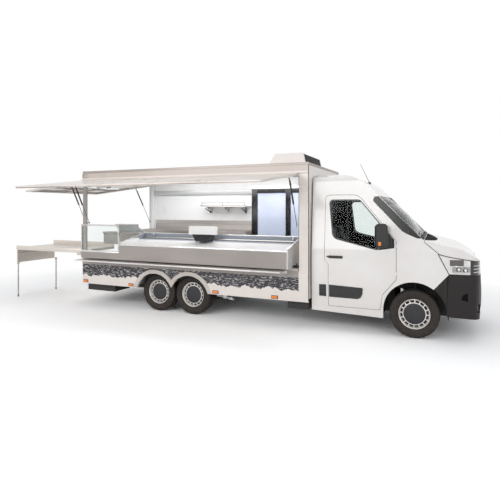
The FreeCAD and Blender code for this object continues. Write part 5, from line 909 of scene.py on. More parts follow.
# Wheel-arch panels: pressed glass-fibre rings glued round the two arches, pale against the print
arch_pale = finish("arch_panel_gelcoat", "D9D2CB", "CDC5BD", grain=2.2, rough=(0.3, 0.42), bump=0.02,
                   bump_grain=400,
                   dust=(0.35, 0.8, 0.3, "9C9086"))
ARCH_STEPS = 72
arch_outline = [(0.401, 1.0995), (0.401, 1.1045), (0.406, 1.1068), (0.462, 1.1068), (0.470, 1.1050),
                (0.472, 1.0995), (0.401, 1.0995)]
for side, out in SIDES:
    shape = bmesh.new()
    for axle_x, keep_sign in ((-4.41, -1), (-3.69, 1)):
        ring = turned(arch_outline, ARCH_STEPS)
        if out < 0:
            bmesh.ops.scale(ring, vec=(1, -1, 1), verts=ring.verts[:])
            bmesh.ops.reverse_faces(ring, faces=ring.faces[:])
        move(ring, spot(axle_x, 0, 0.300))
        cut(ring, (0, 0, 0.4202), (0, 0, -1))
        cut(ring, spot(-4.05, 0, 0), (-keep_sign, 0, 0))
        close(ring)
        joined = bpy.data.meshes.new("arch_half")
        ring.to_mesh(joined)
        ring.free()
        shape.from_mesh(joined)
        bpy.data.meshes.remove(joined)
    piece(f"arch_panel_{side}", shape, "root", arch_pale, 25)

# Body frame: anodised and painted aluminium posts, fascia and rails. The posts at the serving side are
# cream, the rear post and its return are bare grey, and black rubber seals line the opening.
frame_cream = finish("frame_cream_paint", "F0E7E1", "E7DED7", grain=1.5, rough=(0.26, 0.36), bump=0.01,
                     bump_grain=500, Coat_Weight=0.2)
zone(frame_cream, "A9A29E", high=(spot(-5.985, 0, 0).x, spot(0, -0.90, 0).y, 2.385), variation=0.16)
# Painted shade: the frame below the opening, under the bag shelf, is coloured a darker cream.
zone(frame_cream, "C3B9B2", high=(spot(-1.690, 0, 0).x, None, 0.935), variation=0.14)
zone(frame_cream, "5A534C", low=(spot(-1.700, 0, 0).x, None, 0.90),
     high=(spot(-1.684, 0, 0).x, spot(0, -0.9, 0).y, 2.39),
     variation=0.12)
zone(frame_cream, "CDC2BA", low=(None, None, 2.470), high=(None, spot(0, -0.9, 0).y, None), variation=0.06)
dress(frame_cream, "body_frame")
seal_rubber = finish("seal_rubber", "1C1B1C", "131213", grain=30, rough=(0.55, 0.7), bump=0.1)
slab_piece("opening_seals", seal_rubber, "rubber",
           ((-1.692, -1.098, 0.905), (-1.680, -1.070, 2.398), 0.003, 2),
           ((-1.692, -1.098, 2.384), (-5.985, -1.078, 2.396), 0.003, 2),
           ((-1.5345, -1.1035, 0.44), (-1.527, -1.085, 2.56), 0.002, 1))

# Roof edge: a grey-brown extruded cap along the right side and both ends, with pressed corner pieces
cap_grey = finish("roof_cap_anodised", "B4ABA4", "9F9690", grain=2.5, stretch=(0.3, 5, 5), rough=(0.35, 0.5),
                  bump=0.06,
                  bump_grain=120, Metallic=0.4)
shape = bmesh.new()
body_low, body_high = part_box("roof")
for start, end in (((body_low.x, body_low.y - 0.0005, 2.556), (body_high.x, body_low.y + 0.024, 2.606)),
                   ((body_low.x, body_high.y - 0.024, 2.556), (body_high.x, body_high.y + 0.0005, 2.606)),
                   ((body_low.x - 0.0005, body_low.y, 2.556), (body_low.x + 0.024, body_high.y, 2.606)),
                   ((body_high.x - 0.024, body_low.y, 2.556), (body_high.x + 0.0005, body_high.y, 2.606))):
    panel(shape, start, end, 0.006, 3)
for corner_x in (body_low.x, body_high.x):
    for corner_y in (body_low.y, body_high.y):
        inward_x = 0.042 if corner_x == body_low.x else -0.042
        inward_y = 0.042 if corner_y == body_low.y else -0.042
        ends_x = sorted((corner_x + inward_x, corner_x - inward_x * 0.03))
        ends_y = sorted((corner_y + inward_y, corner_y - inward_y * 0.03))
        panel(shape, (ends_x[0], ends_y[0], 2.550), (ends_x[1], ends_y[1], 2.609), 0.007, 3)
piece("roof_edge_cap", shape, "root", cap_grey)
slab_piece("fascia_end_cap", cap_grey, "aluminium",
           ((-6.104, -1.1085, 2.470), (-5.985, -1.1005, 2.552), 0.003, 2),
           ((-6.1085, -1.106, 2.470), (-6.1005, -0.99, 2.552), 0.003, 2))

# Side lamps: four amber markers screwed to the lower edge on each side, over small black feet
MARKERS = ((-2.09, 0.462), (-3.16, 0.462), (-4.93, 0.462), (-6.02, 0.470))
for side, out in SIDES:
    slab_piece(f"side_markers_{side}", amber_lens, "lamp_lens",
               *[((along - 0.050, 1.098, up - 0.020), (along + 0.050, 1.116, up + 0.020), 0.007, 3)
                 for along, up in MARKERS], out=out)
    slab_piece(f"side_marker_feet_{side}", trim_black, "black_plastic",
               *[((along - 0.060, 1.098, up - 0.027), (along + 0.060, 1.103, up + 0.027), 0.002, 1)
                 for along, up in MARKERS], out=out)

# Tail lamps, rear plate and bumper bar: moulded clusters of red, amber and clear lenses on the tail panel,
# a blank plate between them under a small lamp, and a steel bar on two brackets below
TAIL_MIDDLE = 0.93
for side, out in SIDES:
    slab_piece(f"tail_lamp_base_{side}", trim_black, "black_plastic",
               ((-6.106, TAIL_MIDDLE - 0.125, 0.474), (-6.098, TAIL_MIDDLE + 0.125, 0.586), 0.003, 2),
               out=out)
    for label, surface, start, end in (("stop", red_lens, -0.118, -0.022),
                                       ("turn", amber_lens, -0.018, 0.052),
                                       ("reverse", clear_lens, 0.056, 0.118)):
        slab_piece(f"tail_{label}_{side}", surface, "lamp_lens",
                   ((-6.124, TAIL_MIDDLE - start, 0.482), (-6.104, TAIL_MIDDLE - end, 0.578), 0.008, 3),
                   out=out)
slab_piece("rear_plate_frame", trim_black, "black_plastic",
           ((-6.110, -0.268, 0.462), (-6.099, 0.268, 0.586), 0.003, 2),
           ((-6.120, -0.060, 0.588), (-6.098, 0.060, 0.612), 0.005, 2))
slab_piece("rear_plate", plate_white, "white_plastic",
           ((-6.1135, -0.260, 0.470), (-6.109, 0.260, 0.578), 0.0018, 1))
slab_piece("rear_bar", frame_black, "black_steel", ((-6.105, -0.92, 0.345), (-6.045, 0.92, 0.412), 0.010, 3),
           *[((-6.06, across - 0.03, 0.36), (-5.96, across + 0.03, 0.43), 0.006, 2)
             for across in (-0.48, 0.48)])

# Roof cooler: a vacuum-formed white cover over the condenser, open at the front behind black louvres,
# with four columns of short upright ribs across them and a dark sheet behind
cooler_white = finish("cooler_cover", "F1EAE6", "E9E1DC", grain=2.2, rough=(0.3, 0.42), bump=0.03,
                      bump_grain=400)
dress(cooler_white, "roof_cooler")
cooler_low, cooler_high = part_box("roof_cooler")
bottom, top = cooler_low.z + 0.035, cooler_high.z - 0.030


def cooler_face(height):
    """How far forward the cooler's front face lies at a height."""
    return surface_out("roof_cooler", (cooler_high.x, (cooler_low.y + cooler_high.y) / 2, height),
                       (1, 0, 0))[0].x


shape = bmesh.new()
for row in range(7):
    height = bottom + (top - bottom) * row / 6
    face_x = cooler_face(height)
    louvre = panel(shape, (face_x - 0.008, cooler_low.y + 0.06, height - 0.0065),
                   (face_x + 0.010, cooler_high.y - 0.06, height + 0.0065), 0.002, 1)
    tilt(shape, louvre, (face_x, 0, height), 28)
for across in (-0.45, -0.15, 0.15, 0.45):
    for row in range(6):
        height = bottom + (top - bottom) * (row + 0.5) / 6
        face_x = cooler_face(height)
        panel(shape, (face_x - 0.006, spot(0, across, 0).y - 0.004, height - 0.013),
              (face_x + 0.007, spot(0, across, 0).y + 0.004, height + 0.013), 0.001, 1)
piece("cooler_louvres", shape, "root", trim_black)
grille_back = bmesh.new()
corners = []
for height, ends in ((bottom - 0.012, (cooler_low.y + 0.05, cooler_high.y - 0.05)),
                     (top + 0.012, (cooler_high.y - 0.05, cooler_low.y + 0.05))):
    corners += [grille_back.verts.new((cooler_face(height) + 0.002, end, height)) for end in ends]
sheet_face = grille_back.faces.new(corners)
outward(grille_back)
bmesh.ops.solidify(grille_back, geom=[sheet_face], thickness=0.003)
outward(grille_back)
piece("cooler_grille_back", grille_back, "root", seal_rubber)

# Serving flap and rear flap: cream sandwich panels with an aluminium strip along the outer edge; underneath,
# aluminium cross bars and long bars, three lamp strips under the serving flap and one under the rear flap
flap_white = finish("flap_panel", "E9E2DB", "DAD1C9", grain=1.8, rough=(0.25, 0.4), bump=0.03, bump_grain=260,
                    Metallic=0.15, Coat_Weight=0.2)
flap_frame_grey = finish("flap_frame_aluminium", "B3ABA5", "8F8780", grain=2.5, stretch=(0.4, 4, 4),
                         rough=(0.28, 0.42),
                         bump=0.08, bump_grain=160, Metallic=0.7)
dress(flap_white, "side_flap", "rear_flap")
side_low, side_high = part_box("side_flap")
rear_low, rear_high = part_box("rear_flap")


def below_flap(node_name, along, across):
    """The flap's lower face over a point of the ground."""
    found, where, _, _ = frame["nodes"][node_name].ray_cast(Vector((along, across, 0.0)), Vector((0, 0, 1)))
    return where if found else Vector((along, across, 2.3))


def rail_between(shape, first, last, low, high, round_off):
    """Adds an eased rail along a line; low and high are its other sizes, across and above the line."""
    length = (last - first).length
    turn = (last - first).to_track_quat("X", "Z").to_matrix().to_4x4()
    made = panel(shape, (-length / 2, *low), (length / 2, *high), round_off)
    bmesh.ops.transform(shape, matrix=Matrix.Translation((first + last) / 2) @ turn, verts=made)


def flap_rail(shape, node_name, start, end, wide, deep):
    """A rail fixed under a flap between two ground points, following the flap's slope."""
    rail_between(shape, below_flap(node_name, *start), below_flap(node_name, *end), (-wide / 2, -deep),
                 (wide / 2, 0.004), min(wide, deep) * 0.25)


CROSS_BAR, LONG_BAR, LAMP_STRIP = (0.040, 0.022), (0.030, 0.018), (0.050, 0.026)
strip_light = finish("lamp_diffuser", "F7FAFB", "EFF3F5", grain=20, rough=(0.2, 0.3), bump=0.02,
                     Emission_Color=(0.9, 0.95, 1.0, 1), Emission_Strength=0.5)
shape, glow_shape = bmesh.new(), bmesh.new()
inner_y, outer_y = side_high.y - 0.42, side_low.y + 0.16
for along in (side_low.x + 0.12, side_low.x + 1.45, side_low.x + 2.85, side_high.x - 0.12):
    flap_rail(shape, "side_flap", (along, outer_y), (along, inner_y), *CROSS_BAR)
for across in (outer_y, (outer_y + inner_y) / 2):
    flap_rail(shape, "side_flap", (side_low.x + 0.1, across), (side_high.x - 0.1, across), *LONG_BAR)
for start in (side_low.x + 0.30, side_low.x + 1.62, side_low.x + 3.02):
    flap_rail(glow_shape, "side_flap", (start, inner_y - 0.16), (start + 1.02, inner_y - 0.16), *LAMP_STRIP)
piece("side_flap_rails", shape, "side_flap", flap_frame_grey)
piece("side_flap_lamps", glow_shape, "side_flap", strip_light)
shape, glow_shape = bmesh.new(), bmesh.new()
inner_x, outer_x = rear_high.x - 0.50, rear_low.x + 0.14
for across in (rear_low.y + 0.12, rear_low.y + 0.76, rear_high.y - 0.76, rear_high.y - 0.12):
    flap_rail(shape, "rear_flap", (outer_x, across), (inner_x, across), *CROSS_BAR)
for along in (outer_x, (outer_x + inner_x) / 2):
    flap_rail(shape, "rear_flap", (along, rear_low.y + 0.1), (along, rear_high.y - 0.1), *LONG_BAR)
flap_rail(glow_shape, "rear_flap", (inner_x - 0.12, rear_low.y + 0.35), (inner_x - 0.12, rear_high.y - 0.35),
          *LAMP_STRIP)
piece("rear_flap_rails", shape, "rear_flap", flap_frame_grey)
piece("rear_flap_lamps", glow_shape, "rear_flap", strip_light)
inset, end_gap = 0.006, 0.004
for node, start, end in (
        ("side_flap", (side_low.x + end_gap, side_low.y + inset),
         (side_high.x - end_gap, side_low.y + inset)),
        ("rear_flap", (rear_low.x + inset, rear_low.y + end_gap),
         (rear_low.x + inset, rear_high.y - end_gap))):
    shape = bmesh.new()
    rail_between(shape, below_flap(node, *start), below_flap(node, *end), (-0.004, 0.002), (0.010, 0.038),
                 0.004)
    piece(f"{node}_edge", shape, node, flap_frame_grey)

# Gas struts: black painted cylinders, blackened steel rods
strut_black = finish("strut_black_paint", "202022", "151516", grain=20, rough=(0.25, 0.38), bump=0.04)
rod_steel = finish("blackened_rod", "3C3D40", "2C2D30", grain=8, rough=(0.12, 0.22), bump=0.0, Metallic=0.8)
dress(strut_black, "side_strut_cylinders", "rear_strut_cylinders")
dress(rod_steel, "side_strut_rods", "rear_strut_rods")

# Display counter: grey coated front panels, a white moulded tray, blue-grey raised back and brushed end
# cheeks; bright edge trims cap every exposed edge, and partitions stand against the back
counter_grey = finish("counter_panels", "A8A19C", "9B948F", grain=1.6, stretch=(0.5, 4, 1),
                      rough=(0.30, 0.42), bump=0.04,
                      bump_grain=220)
counter_low, counter_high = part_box("display_counter")
cheek_x = spot(-1.820, 0, 0).x
zone(counter_grey, "F6F7F8", low=(spot(-5.045, 0, 0).x, counter_low.y + 0.021, 1.1),
     high=(cheek_x, None, 1.312),
     variation=0.03)
# The blue-grey is the raised back's own colour. Carried forward onto the rear of the tray floor, it is
# painted shade.
zone(counter_grey, "9FA6B2", low=(spot(-5.045, 0, 0).x, spot(0, -0.735, 0).y, 1.272),
     high=(cheek_x, None, 1.41),
     variation=0.10)
zone(counter_grey, "D6D3D0", low=(cheek_x - 0.002, None, None))
zone(counter_grey, "C6C1BD", low=(None, spot(0, -0.72, 0).y, 1.16), high=(spot(-5.046, 0, 0).x, None, None),
     variation=0.14)
dress(counter_grey, "display_counter")
brushed = finish("brushed_stainless", "CBC8C5", "BDB9B5", grain=3.2, stretch=(0.25, 9, 9), rough=(0.24, 0.36),
                 bump=0.05,
                 bump_grain=70, Metallic=0.85)
bright_edge = finish("bright_edge_trim", "EDEDEC", "D7D6D4", grain=4, rough=(0.12, 0.22), bump=0.02,
                     Metallic=0.6)
shape = bmesh.new()
slab(shape, (-5.043, -1.304, 1.206), (-1.802, -1.276, 1.226), 0.003, 2)
slab(shape, (-5.021, -0.566, 1.394), (-1.822, -0.536, 1.410), 0.003, 2)
slab(shape, (-5.941, -1.304, 1.062), (-5.048, -1.276, 1.078), 0.003, 2)
for along in (-5.045, -1.820):
    rail_between(shape, spot(along + 0.010, -1.300, 1.252), spot(along + 0.010, -0.540, 1.402),
                 (-0.014, -0.006), (0.014, 0.006), 0.003)
piece("counter_trims", shape, "counter", bright_edge)
shape = bmesh.new()
for along in (-4.78, -1.95):
    slab(shape, (along, -0.600, 1.318), (along + 0.014, -0.560, 1.396), 0.003, 2)
slab(shape, (-5.02, -0.612, 1.308), (-1.823, -0.602, 1.330), 0.003, 2)
piece("tray_partitions", shape, "counter", brushed)

# Supply box: a small black socket box with two lidded outlets and a gland, on the sill by the front post
shape = bmesh.new()
slab(shape, (-1.785, -1.085, 0.906), (-1.700, -1.010, 0.985), 0.008, 3)
for along in (-1.775, -1.738):
    bar(shape, spot(along + 0.012, -1.080, 0.950), spot(along + 0.012, -1.098, 0.950), 0.015, 0.014, 20)
    slab(shape, (along - 0.004, -1.101, 0.936), (along + 0.028, -1.094, 0.966), 0.003, 2)
bar(shape, spot(-1.742, -1.045, 0.98), spot(-1.742, -1.045, 1.01), 0.010, 0.008, 16)
piece("supply_box", shape, "root", trim_black)

# Guard: square stainless tube frame with a clear pane held in it by small clamps
dress(brushed, "glass_guard")
guard_low, guard_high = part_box("glass_guard")
pane_clear = finish("clear_pane", "F4F8F7", "EEF4F3", grain=2, rough=(0.0, 0.01), bump=0.0,
                    Transmission_Weight=1.0,
                    IOR=1.45)
middle_y = (guard_low.y + guard_high.y) / 2
shape = bmesh.new()
panel(shape, (guard_low.x + 0.027, middle_y - 0.003, guard_low.z + 0.027),
      (guard_high.x - 0.027, middle_y + 0.003, guard_high.z - 0.027), 0.001, 1)
piece("guard_pane", shape, "counter", pane_clear)
shape = bmesh.new()
for along in (guard_low.x + 0.20, guard_high.x - 0.20):
    for up in (guard_low.z + 0.024, guard_high.z - 0.024):
        panel(shape, (along - 0.016, middle_y - 0.009, up - 0.010),
              (along + 0.016, middle_y + 0.009, up + 0.010),
              0.003, 2)
for along in (guard_low.x + 0.0125, guard_high.x - 0.0125):
    bar(shape, (along, middle_y, guard_low.z - 0.006), (along, middle_y, guard_low.z + 0.012), 0.016, 0.012,
        16)
piece("guard_clamps", shape, "counter", chrome)

# Desk hood: a frosted glass sheet that leans back from the desk's shelf, in a thin bright edge
frosted = finish("frosted_glass", "EAEFEF", "DFE6E6", grain=3, rough=(0.25, 0.4), bump=0.02,
                 Transmission_Weight=0.45,
                 IOR=1.45)
shape, edges = bmesh.new(), bmesh.new()
hood_corners = [spot(-5.655, -0.680, 1.552), spot(-5.135, -0.680, 1.552), spot(-5.062, -0.492, 1.392),
                spot(-5.655, -0.492, 1.392)]
hood_face = shape.faces.new([shape.verts.new(corner) for corner in hood_corners])
shape.normal_update()
bmesh.ops.solidify(shape, geom=[hood_face], thickness=0.006)
outward(shape)
piece("desk_hood", shape, "counter", frosted)
for start, end in zip(hood_corners, hood_corners[1:] + hood_corners[:1]):
    bar(edges, start, end, 0.0055, 0.0055, 10)
piece("desk_hood_edge", edges, "counter", bright_edge)

# Bag shelf: a folded aluminium ledge hinged along the sill
shelf_alloy = finish("shelf_aluminium", "E6E3E1", "CFCBC8", grain=2.6, stretch=(0.3, 6, 6),
                     rough=(0.24, 0.36), bump=0.06,
                     bump_grain=100, Metallic=0.6)
dress(shelf_alloy, "bag_shelf")

# Rear table: stainless top, upstand and apron on grey aluminium legs with rubber feet
table_sheet = finish("table_sheet", "E6DED5", "D6CDC4", grain=2.2, stretch=(0.3, 0.3, 8), rough=(0.26, 0.36),
                     bump=0.04,
                     bump_grain=60, Metallic=0.45)
dress(table_sheet, "rear_table")
table_low, table_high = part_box("rear_table")
shape = bmesh.new()
panel(shape, (table_low.x + 0.002, table_low.y + 0.0005, 1.012),
      (table_low.x + 1.85, table_low.y + 0.020, 1.088), 0.004, 2)
piece("table_fascia", shape, frame["nodes"]["rear_table"]["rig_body"], table_sheet)
leg_grey = finish("leg_anodised", "B8B4B0", "9B9692", grain=8, rough=(0.3, 0.42), bump=0.03, Metallic=0.7)
dress(leg_grey, "table_leg_right", "table_leg_left")
for side in ("right", "left"):
    leg_low, leg_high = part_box(f"table_leg_{side}")
    centre = (leg_low + leg_high) / 2
    shape = bmesh.new()
    bar(shape, (centre.x, centre.y, 0.0), (centre.x, centre.y, 0.012), 0.0168, 0.0162, 20)
    bar(shape, (centre.x, centre.y, 0.012), (centre.x, centre.y, 0.034), 0.0150, 0.0138, 20)
    piece(f"leg_foot_{side}", shape, frame["nodes"][f"table_leg_{side}"]["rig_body"], seal_rubber)

# Refrigerator: white coated case with two glazed doors in black frames, bar handles, wire shelves
# and price rails
fridge_white = finish("fridge_white", "F0F1F2", "E7E9EA", grain=2, rough=(0.26, 0.36), bump=0.03,
                      bump_grain=500)
dress(fridge_white, "fridge_case")
fridge_black = finish("fridge_frame_black", "17181C", "0F1013", grain=14, rough=(0.2, 0.32), bump=0.04)
# Painted light: the door panes glow a faint blue, standing in for the lit inside of the case.
fridge_pane_painted_glow = finish("fridge_pane_painted_glow", "C4CAD9", "B3BBCE", grain=1.4, rough=(0.06, 0.12), bump=0.0,
                     Transmission_Weight=0.30, IOR=1.45, Emission_Color=(0.52, 0.57, 0.70, 1),
                     Emission_Strength=0.28)
case_low, case_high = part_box("fridge_case")
shelf_wire = bmesh.new()
for up in (1.30, 1.52, 1.745, 1.97, 2.18):
    for depth in (0.10, 0.20, 0.30, 0.40):
        bar(shelf_wire, (case_low.x + 0.05, case_low.y + depth, up),
            (case_high.x - 0.05, case_low.y + depth, up), 0.004,
            0.004, 8)
    for step in range(24):
        along = case_low.x + 0.06 + (case_high.x - case_low.x - 0.12) * step / 23
        bar(shelf_wire, (along, case_low.y + 0.09, up + 0.006), (along, case_low.y + 0.42, up + 0.006), 0.002,
            0.002, 6)
piece("fridge_shelves", shelf_wire, "root", chrome)
shape = bmesh.new()
for up in (1.45, 1.695, 1.94):
    panel(shape, (case_low.x + 0.05, case_low.y + 0.040, up - 0.010),
          (case_high.x - 0.05, case_low.y + 0.052, up + 0.010), 0.003, 2)
piece("fridge_price_rails", shape, "root", fridge_white)
for side, hinge_end in (("rear", 0), ("front", 1)):
    node = f"fridge_door_{side}"
    body = frame["nodes"][node]["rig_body"]
    door_low, door_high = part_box(node)
    centre_y = (door_low.y + door_high.y) / 2
    edge, hinge_edge, rail_edge = 0.050, 0.130, 0.088
    glass_start = door_low.x + (hinge_edge if hinge_end == 0 else edge)
    glass_end = door_high.x - (edge if hinge_end == 0 else hinge_edge)
    shape = bmesh.new()
    for start_x, end_x in ((door_low.x, glass_start), (glass_end, door_high.x)):
        panel(shape, (start_x, door_low.y, door_low.z), (end_x, door_high.y, door_high.z), 0.004, 2)
    for start_z, end_z in ((door_low.z, door_low.z + rail_edge), (door_high.z - rail_edge, door_high.z)):
        panel(shape, (glass_start - 0.004, door_low.y + 0.0015, start_z),
              (glass_end + 0.004, door_high.y - 0.0015, end_z),
              0.003, 2)
    frame_ring = piece(f"fridge_frame_{side}", shape, body, fridge_black)
    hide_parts(node)
    shape = bmesh.new()
    panel(shape, (glass_start, centre_y - 0.006, door_low.z + rail_edge),
          (glass_end, centre_y + 0.006, door_high.z - rail_edge), 0.002, 1)
    piece(f"fridge_pane_painted_glow_{side}", shape, body, fridge_pane_painted_glow)
    grip_x = door_high.x - 0.030 if hinge_end == 0 else door_low.x + 0.030
    shape = bmesh.new()
    bar(shape, (grip_x, door_low.y - 0.028, 1.56), (grip_x, door_low.y - 0.028, 1.92), 0.009, 0.009, 16)
    for up in (1.59, 1.89):
        bar(shape, (grip_x, door_low.y + 0.002, up), (grip_x, door_low.y - 0.026, up), 0.007, 0.007, 12)
    piece(f"fridge_handle_{side}", shape, body, fridge_black)

# Worktop, splashback and wall shelf: brushed stainless sheet; the shelf has a round rail and
# pressed brackets below
steel_dull = finish("worktop_stainless", "ADA8A4", "989390", grain=2.2, stretch=(0.25, 7, 7),
                    rough=(0.28, 0.42), bump=0.06,
                    bump_grain=80, Metallic=0.8)
dress(steel_dull, "worktop")
dress(shelf_alloy, "wall_shelf")
shelf_low, shelf_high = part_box("wall_shelf")
shape = bmesh.new()
bar(shape, (shelf_low.x - 0.004, shelf_low.y + 0.006, shelf_high.z - 0.004),
    (shelf_high.x + 0.004, shelf_low.y + 0.006, shelf_high.z - 0.004), 0.007, 0.007, 12)
bar(shape, (shelf_low.x + 0.02, shelf_low.y + 0.010, shelf_high.z + 0.060),
    (shelf_high.x - 0.02, shelf_low.y + 0.010, shelf_high.z + 0.060), 0.005, 0.005, 12)
for along in (shelf_low.x + 0.03, (shelf_low.x + shelf_high.x) / 2, shelf_high.x - 0.03):
    bar(shape, (along, shelf_low.y + 0.010, shelf_high.z - 0.004),
        (along, shelf_low.y + 0.010, shelf_high.z + 0.062), 0.004,
        0.004, 10)
for along in (shelf_low.x + 0.10, shelf_high.x - 0.12):
    bar(shape, (along, shelf_high.y - 0.012, shelf_low.z + 0.006),
        (along, shelf_low.y + 0.05, shelf_high.z - 0.06), 0.010,
        0.008, 10)
    panel(shape, (along - 0.014, shelf_high.y - 0.014, shelf_low.z - 0.02),
          (along + 0.014, shelf_high.y - 0.001, shelf_high.z - 0.03), 0.003, 2)
piece("shelf_rails", shape, "root", cast_grey)

# Wall duct and ceiling strip: a grey folded-steel cable duct along the far wall under the roof,
# three flat ceiling lamps, and a white joint cover at the rear corner
duct_grey = finish("duct_grey", "C9CACB", "BBBCBE", grain=3, stretch=(0.3, 5, 5), rough=(0.3, 0.42),
                   bump=0.04,
                   bump_grain=120, Metallic=0.3)
slab_piece("wall_duct", duct_grey, "aluminium", ((-5.95, 1.005, 2.190), (-3.195, 1.058, 2.290), 0.006, 2),
           ((-5.95, 1.000, 2.236), (-3.195, 1.008, 2.244), 0.002, 1))
slab_piece("ceiling_lamps", strip_light, "lamp_lens",
           *[((along - 0.45, -0.25, 2.532), (along + 0.45, -0.13, 2.562), 0.006, 2)
             for along in (-5.3, -3.6, -2.2)])
slab_piece("rear_corner_cover", inner_white, "white_panel",
           ((-6.02, 1.000, 0.92), (-5.94, 1.058, 2.40), 0.006, 2))

# Floor: studded grey safety sheet, turned up round the wheel box
deck_grey = finish("safety_floor", "A5A5A3", "8B8B89", grain=60, rough=(0.55, 0.7), bump=0.35, bump_grain=180)
dress(deck_grey, "body_floor")

# Scale: white moulded head with a blank display on a slanted dark stand
scale_white = finish("scale_moulding", "FCFCFB", "F7F7F6", grain=6, rough=(0.3, 0.42), bump=0.05,
                     bump_grain=700)
scale_low, scale_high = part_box("scale")
scale_middle = (scale_low + scale_high) / 2
shape = bmesh.new()
scale_top = scale_high.z - 0.040
panel(shape, (scale_low.x, scale_middle.y - 0.040, scale_top - 0.152),
      (scale_high.x, scale_middle.y + 0.036, scale_top),
      0.014, 4)
panel(shape, (scale_low.x + 0.03, scale_middle.y + 0.030, scale_top - 0.130),
      (scale_high.x - 0.03, scale_middle.y + 0.0405, scale_top - 0.022), 0.004, 2)
scale_head = piece("scale_head", shape, "counter", scale_white)
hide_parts("scale")
shape = bmesh.new()
stand = panel(shape, (scale_low.x + 0.10, scale_low.y + 0.004, scale_low.z + 0.001),
              (scale_high.x - 0.10, scale_high.y - 0.004, scale_top - 0.148), 0.012, 3)
for vertex in stand:
    rise = (vertex.co.z - scale_low.z) / (scale_top - 0.148 - scale_low.z)
    vertex.co.y = scale_middle.y + (vertex.co.y - scale_middle.y) * (1 - 0.72 * rise)
    vertex.co.x = scale_middle.x + 0.03 + (vertex.co.x - scale_middle.x) * (0.62 + 0.62 * rise) - 0.02 * rise
piece("scale_stand", shape, "counter", cap_plastic)
shape = bmesh.new()
panel(shape, (scale_low.x + 0.16, scale_middle.y + 0.0395, scale_top - 0.095),
      (scale_high.x - 0.16, scale_middle.y + 0.0425, scale_top - 0.045), 0.001, 1)
piece("scale_window", shape, "counter", fridge_black)

# Cab lining: grained grey moulding over the doors, pillars and roof inside, and charcoal carpet below.
# The cab's own paint shows only from outside, so the lining starts a little inside its outer form.


def lined(surface, code, planes):
    """Gives another colour to the part of a surface that lies behind every one of some planes."""
    tree = surface.node_tree
    place = add_node(tree, "TexCoord")["Object"]
    gates = []
    for point, away in planes:
        away = Vector(away).normalized()
        reach = add_node(tree, "VectorMath", {0: place, 1: away}, operation="DOT_PRODUCT")["Value"]
        gates.append(add_node(tree, "Math", {0: reach, 1: away.dot(point)}, operation="LESS_THAN")[0])
    lay_over(surface, gates, drifting(surface, code, 0.15))


lining_planes = [(spot(0, 0.955, 1.25), (0, 1, 0.0982)), (spot(0, -0.955, 1.25), (0, -1, 0.0982)),
                 (spot(0.116, 0, 1.368), (0.721, 0, 0.693)), (spot(0, 0, 2.395), (0, 0, 1)),
                 (spot(0, 0.875, 2.325), (0, 0.158, 0.987)), (spot(0, -0.875, 2.325), (0, -0.158, 0.987)),
                 (spot(-1.483, 0, 0), (-1, 0, 0)), (spot(0.08, 0, 0), (1, 0, 0)),
                 (spot(0, 0.945, 0), (0, 1, 0)),
                 (spot(0, -0.945, 0), (0, -1, 0)), (spot(0, 0, 0.335), (0, 0, -1)),
                 (spot(-0.8844, 0, 2.3586), (0.380, 0, 0.925))]
arch_planes = [(spot(0.62, 0, 0), (1, 0, 0)), (spot(-0.62, 0, 0), (-1, 0, 0)), (spot(0, 0.930, 0), (0, 1, 0)),
               (spot(0, -0.930, 0), (0, -1, 0)), (spot(0, 0, 0.90), (0, 0, 1))]
cab_inside = variant(cab_white, "cab_white_lined")
lined(cab_inside, "1C1D1F", lining_planes)
lined(cab_inside, "1A1A1B", arch_planes)
dress(cab_inside, "cab_shell", "door_right", "door_left")

# Seats: a driver's seat and a double bench in charcoal woven cloth over foam, with head rests. Each
# cushion and back is a padded cover with piped seams and two sewn channels, on a moulded base.
seat_cloth = finish("seat_cloth", "26272B", "1B1C1F", grain=30, rough=(0.82, 0.95), bump=0.25,
                    bump_grain=1500,
                    Sheen_Weight=0.35, Sheen_Roughness=0.5)
tree = seat_cloth.node_tree
place = add_node(tree, "TexCoord")["Object"]
weave = add_node(tree, "TexWave", {"Scale": 260.0, "Distortion": 0.6, "Vector": place}, wave_type="BANDS",
                 bands_direction="DIAGONAL")["Fac"]
twill = add_node(tree, "Bump", {"Strength": 0.35, "Distance": 0.0015, "Height": weave,
                                "Normal": tree.nodes["Bump"].outputs["Normal"]})["Normal"]
tree.links.new(twill, tree.nodes["Principled BSDF"].inputs["Normal"])
piping = finish("seat_piping", "1F2023", "17181A", grain=60, rough=(0.6, 0.75), bump=0.1)


stuffed = {}


def cushion(width, length, thickness, place, channels):
    """A stuffed cover on its own axes: crowned, pulled in between its corners, then blown up as cloth."""
    size = (round(width, 4), round(length, 4), round(thickness, 4))
    if size not in stuffed:
        stuffed[size] = cover(*size)
    shape = bmesh.new()
    shape.from_mesh(stuffed[size])
    for vertex in shape.verts:
        for channel in channels:
            away = abs(vertex.co.y - channel * width)
            if vertex.co.z > 0 and away < 0.016:
                vertex.co.z -= 0.009 * (1 - away / 0.016) ** 1.5
    bmesh.ops.transform(shape, matrix=place, verts=shape.verts[:])
    return shape


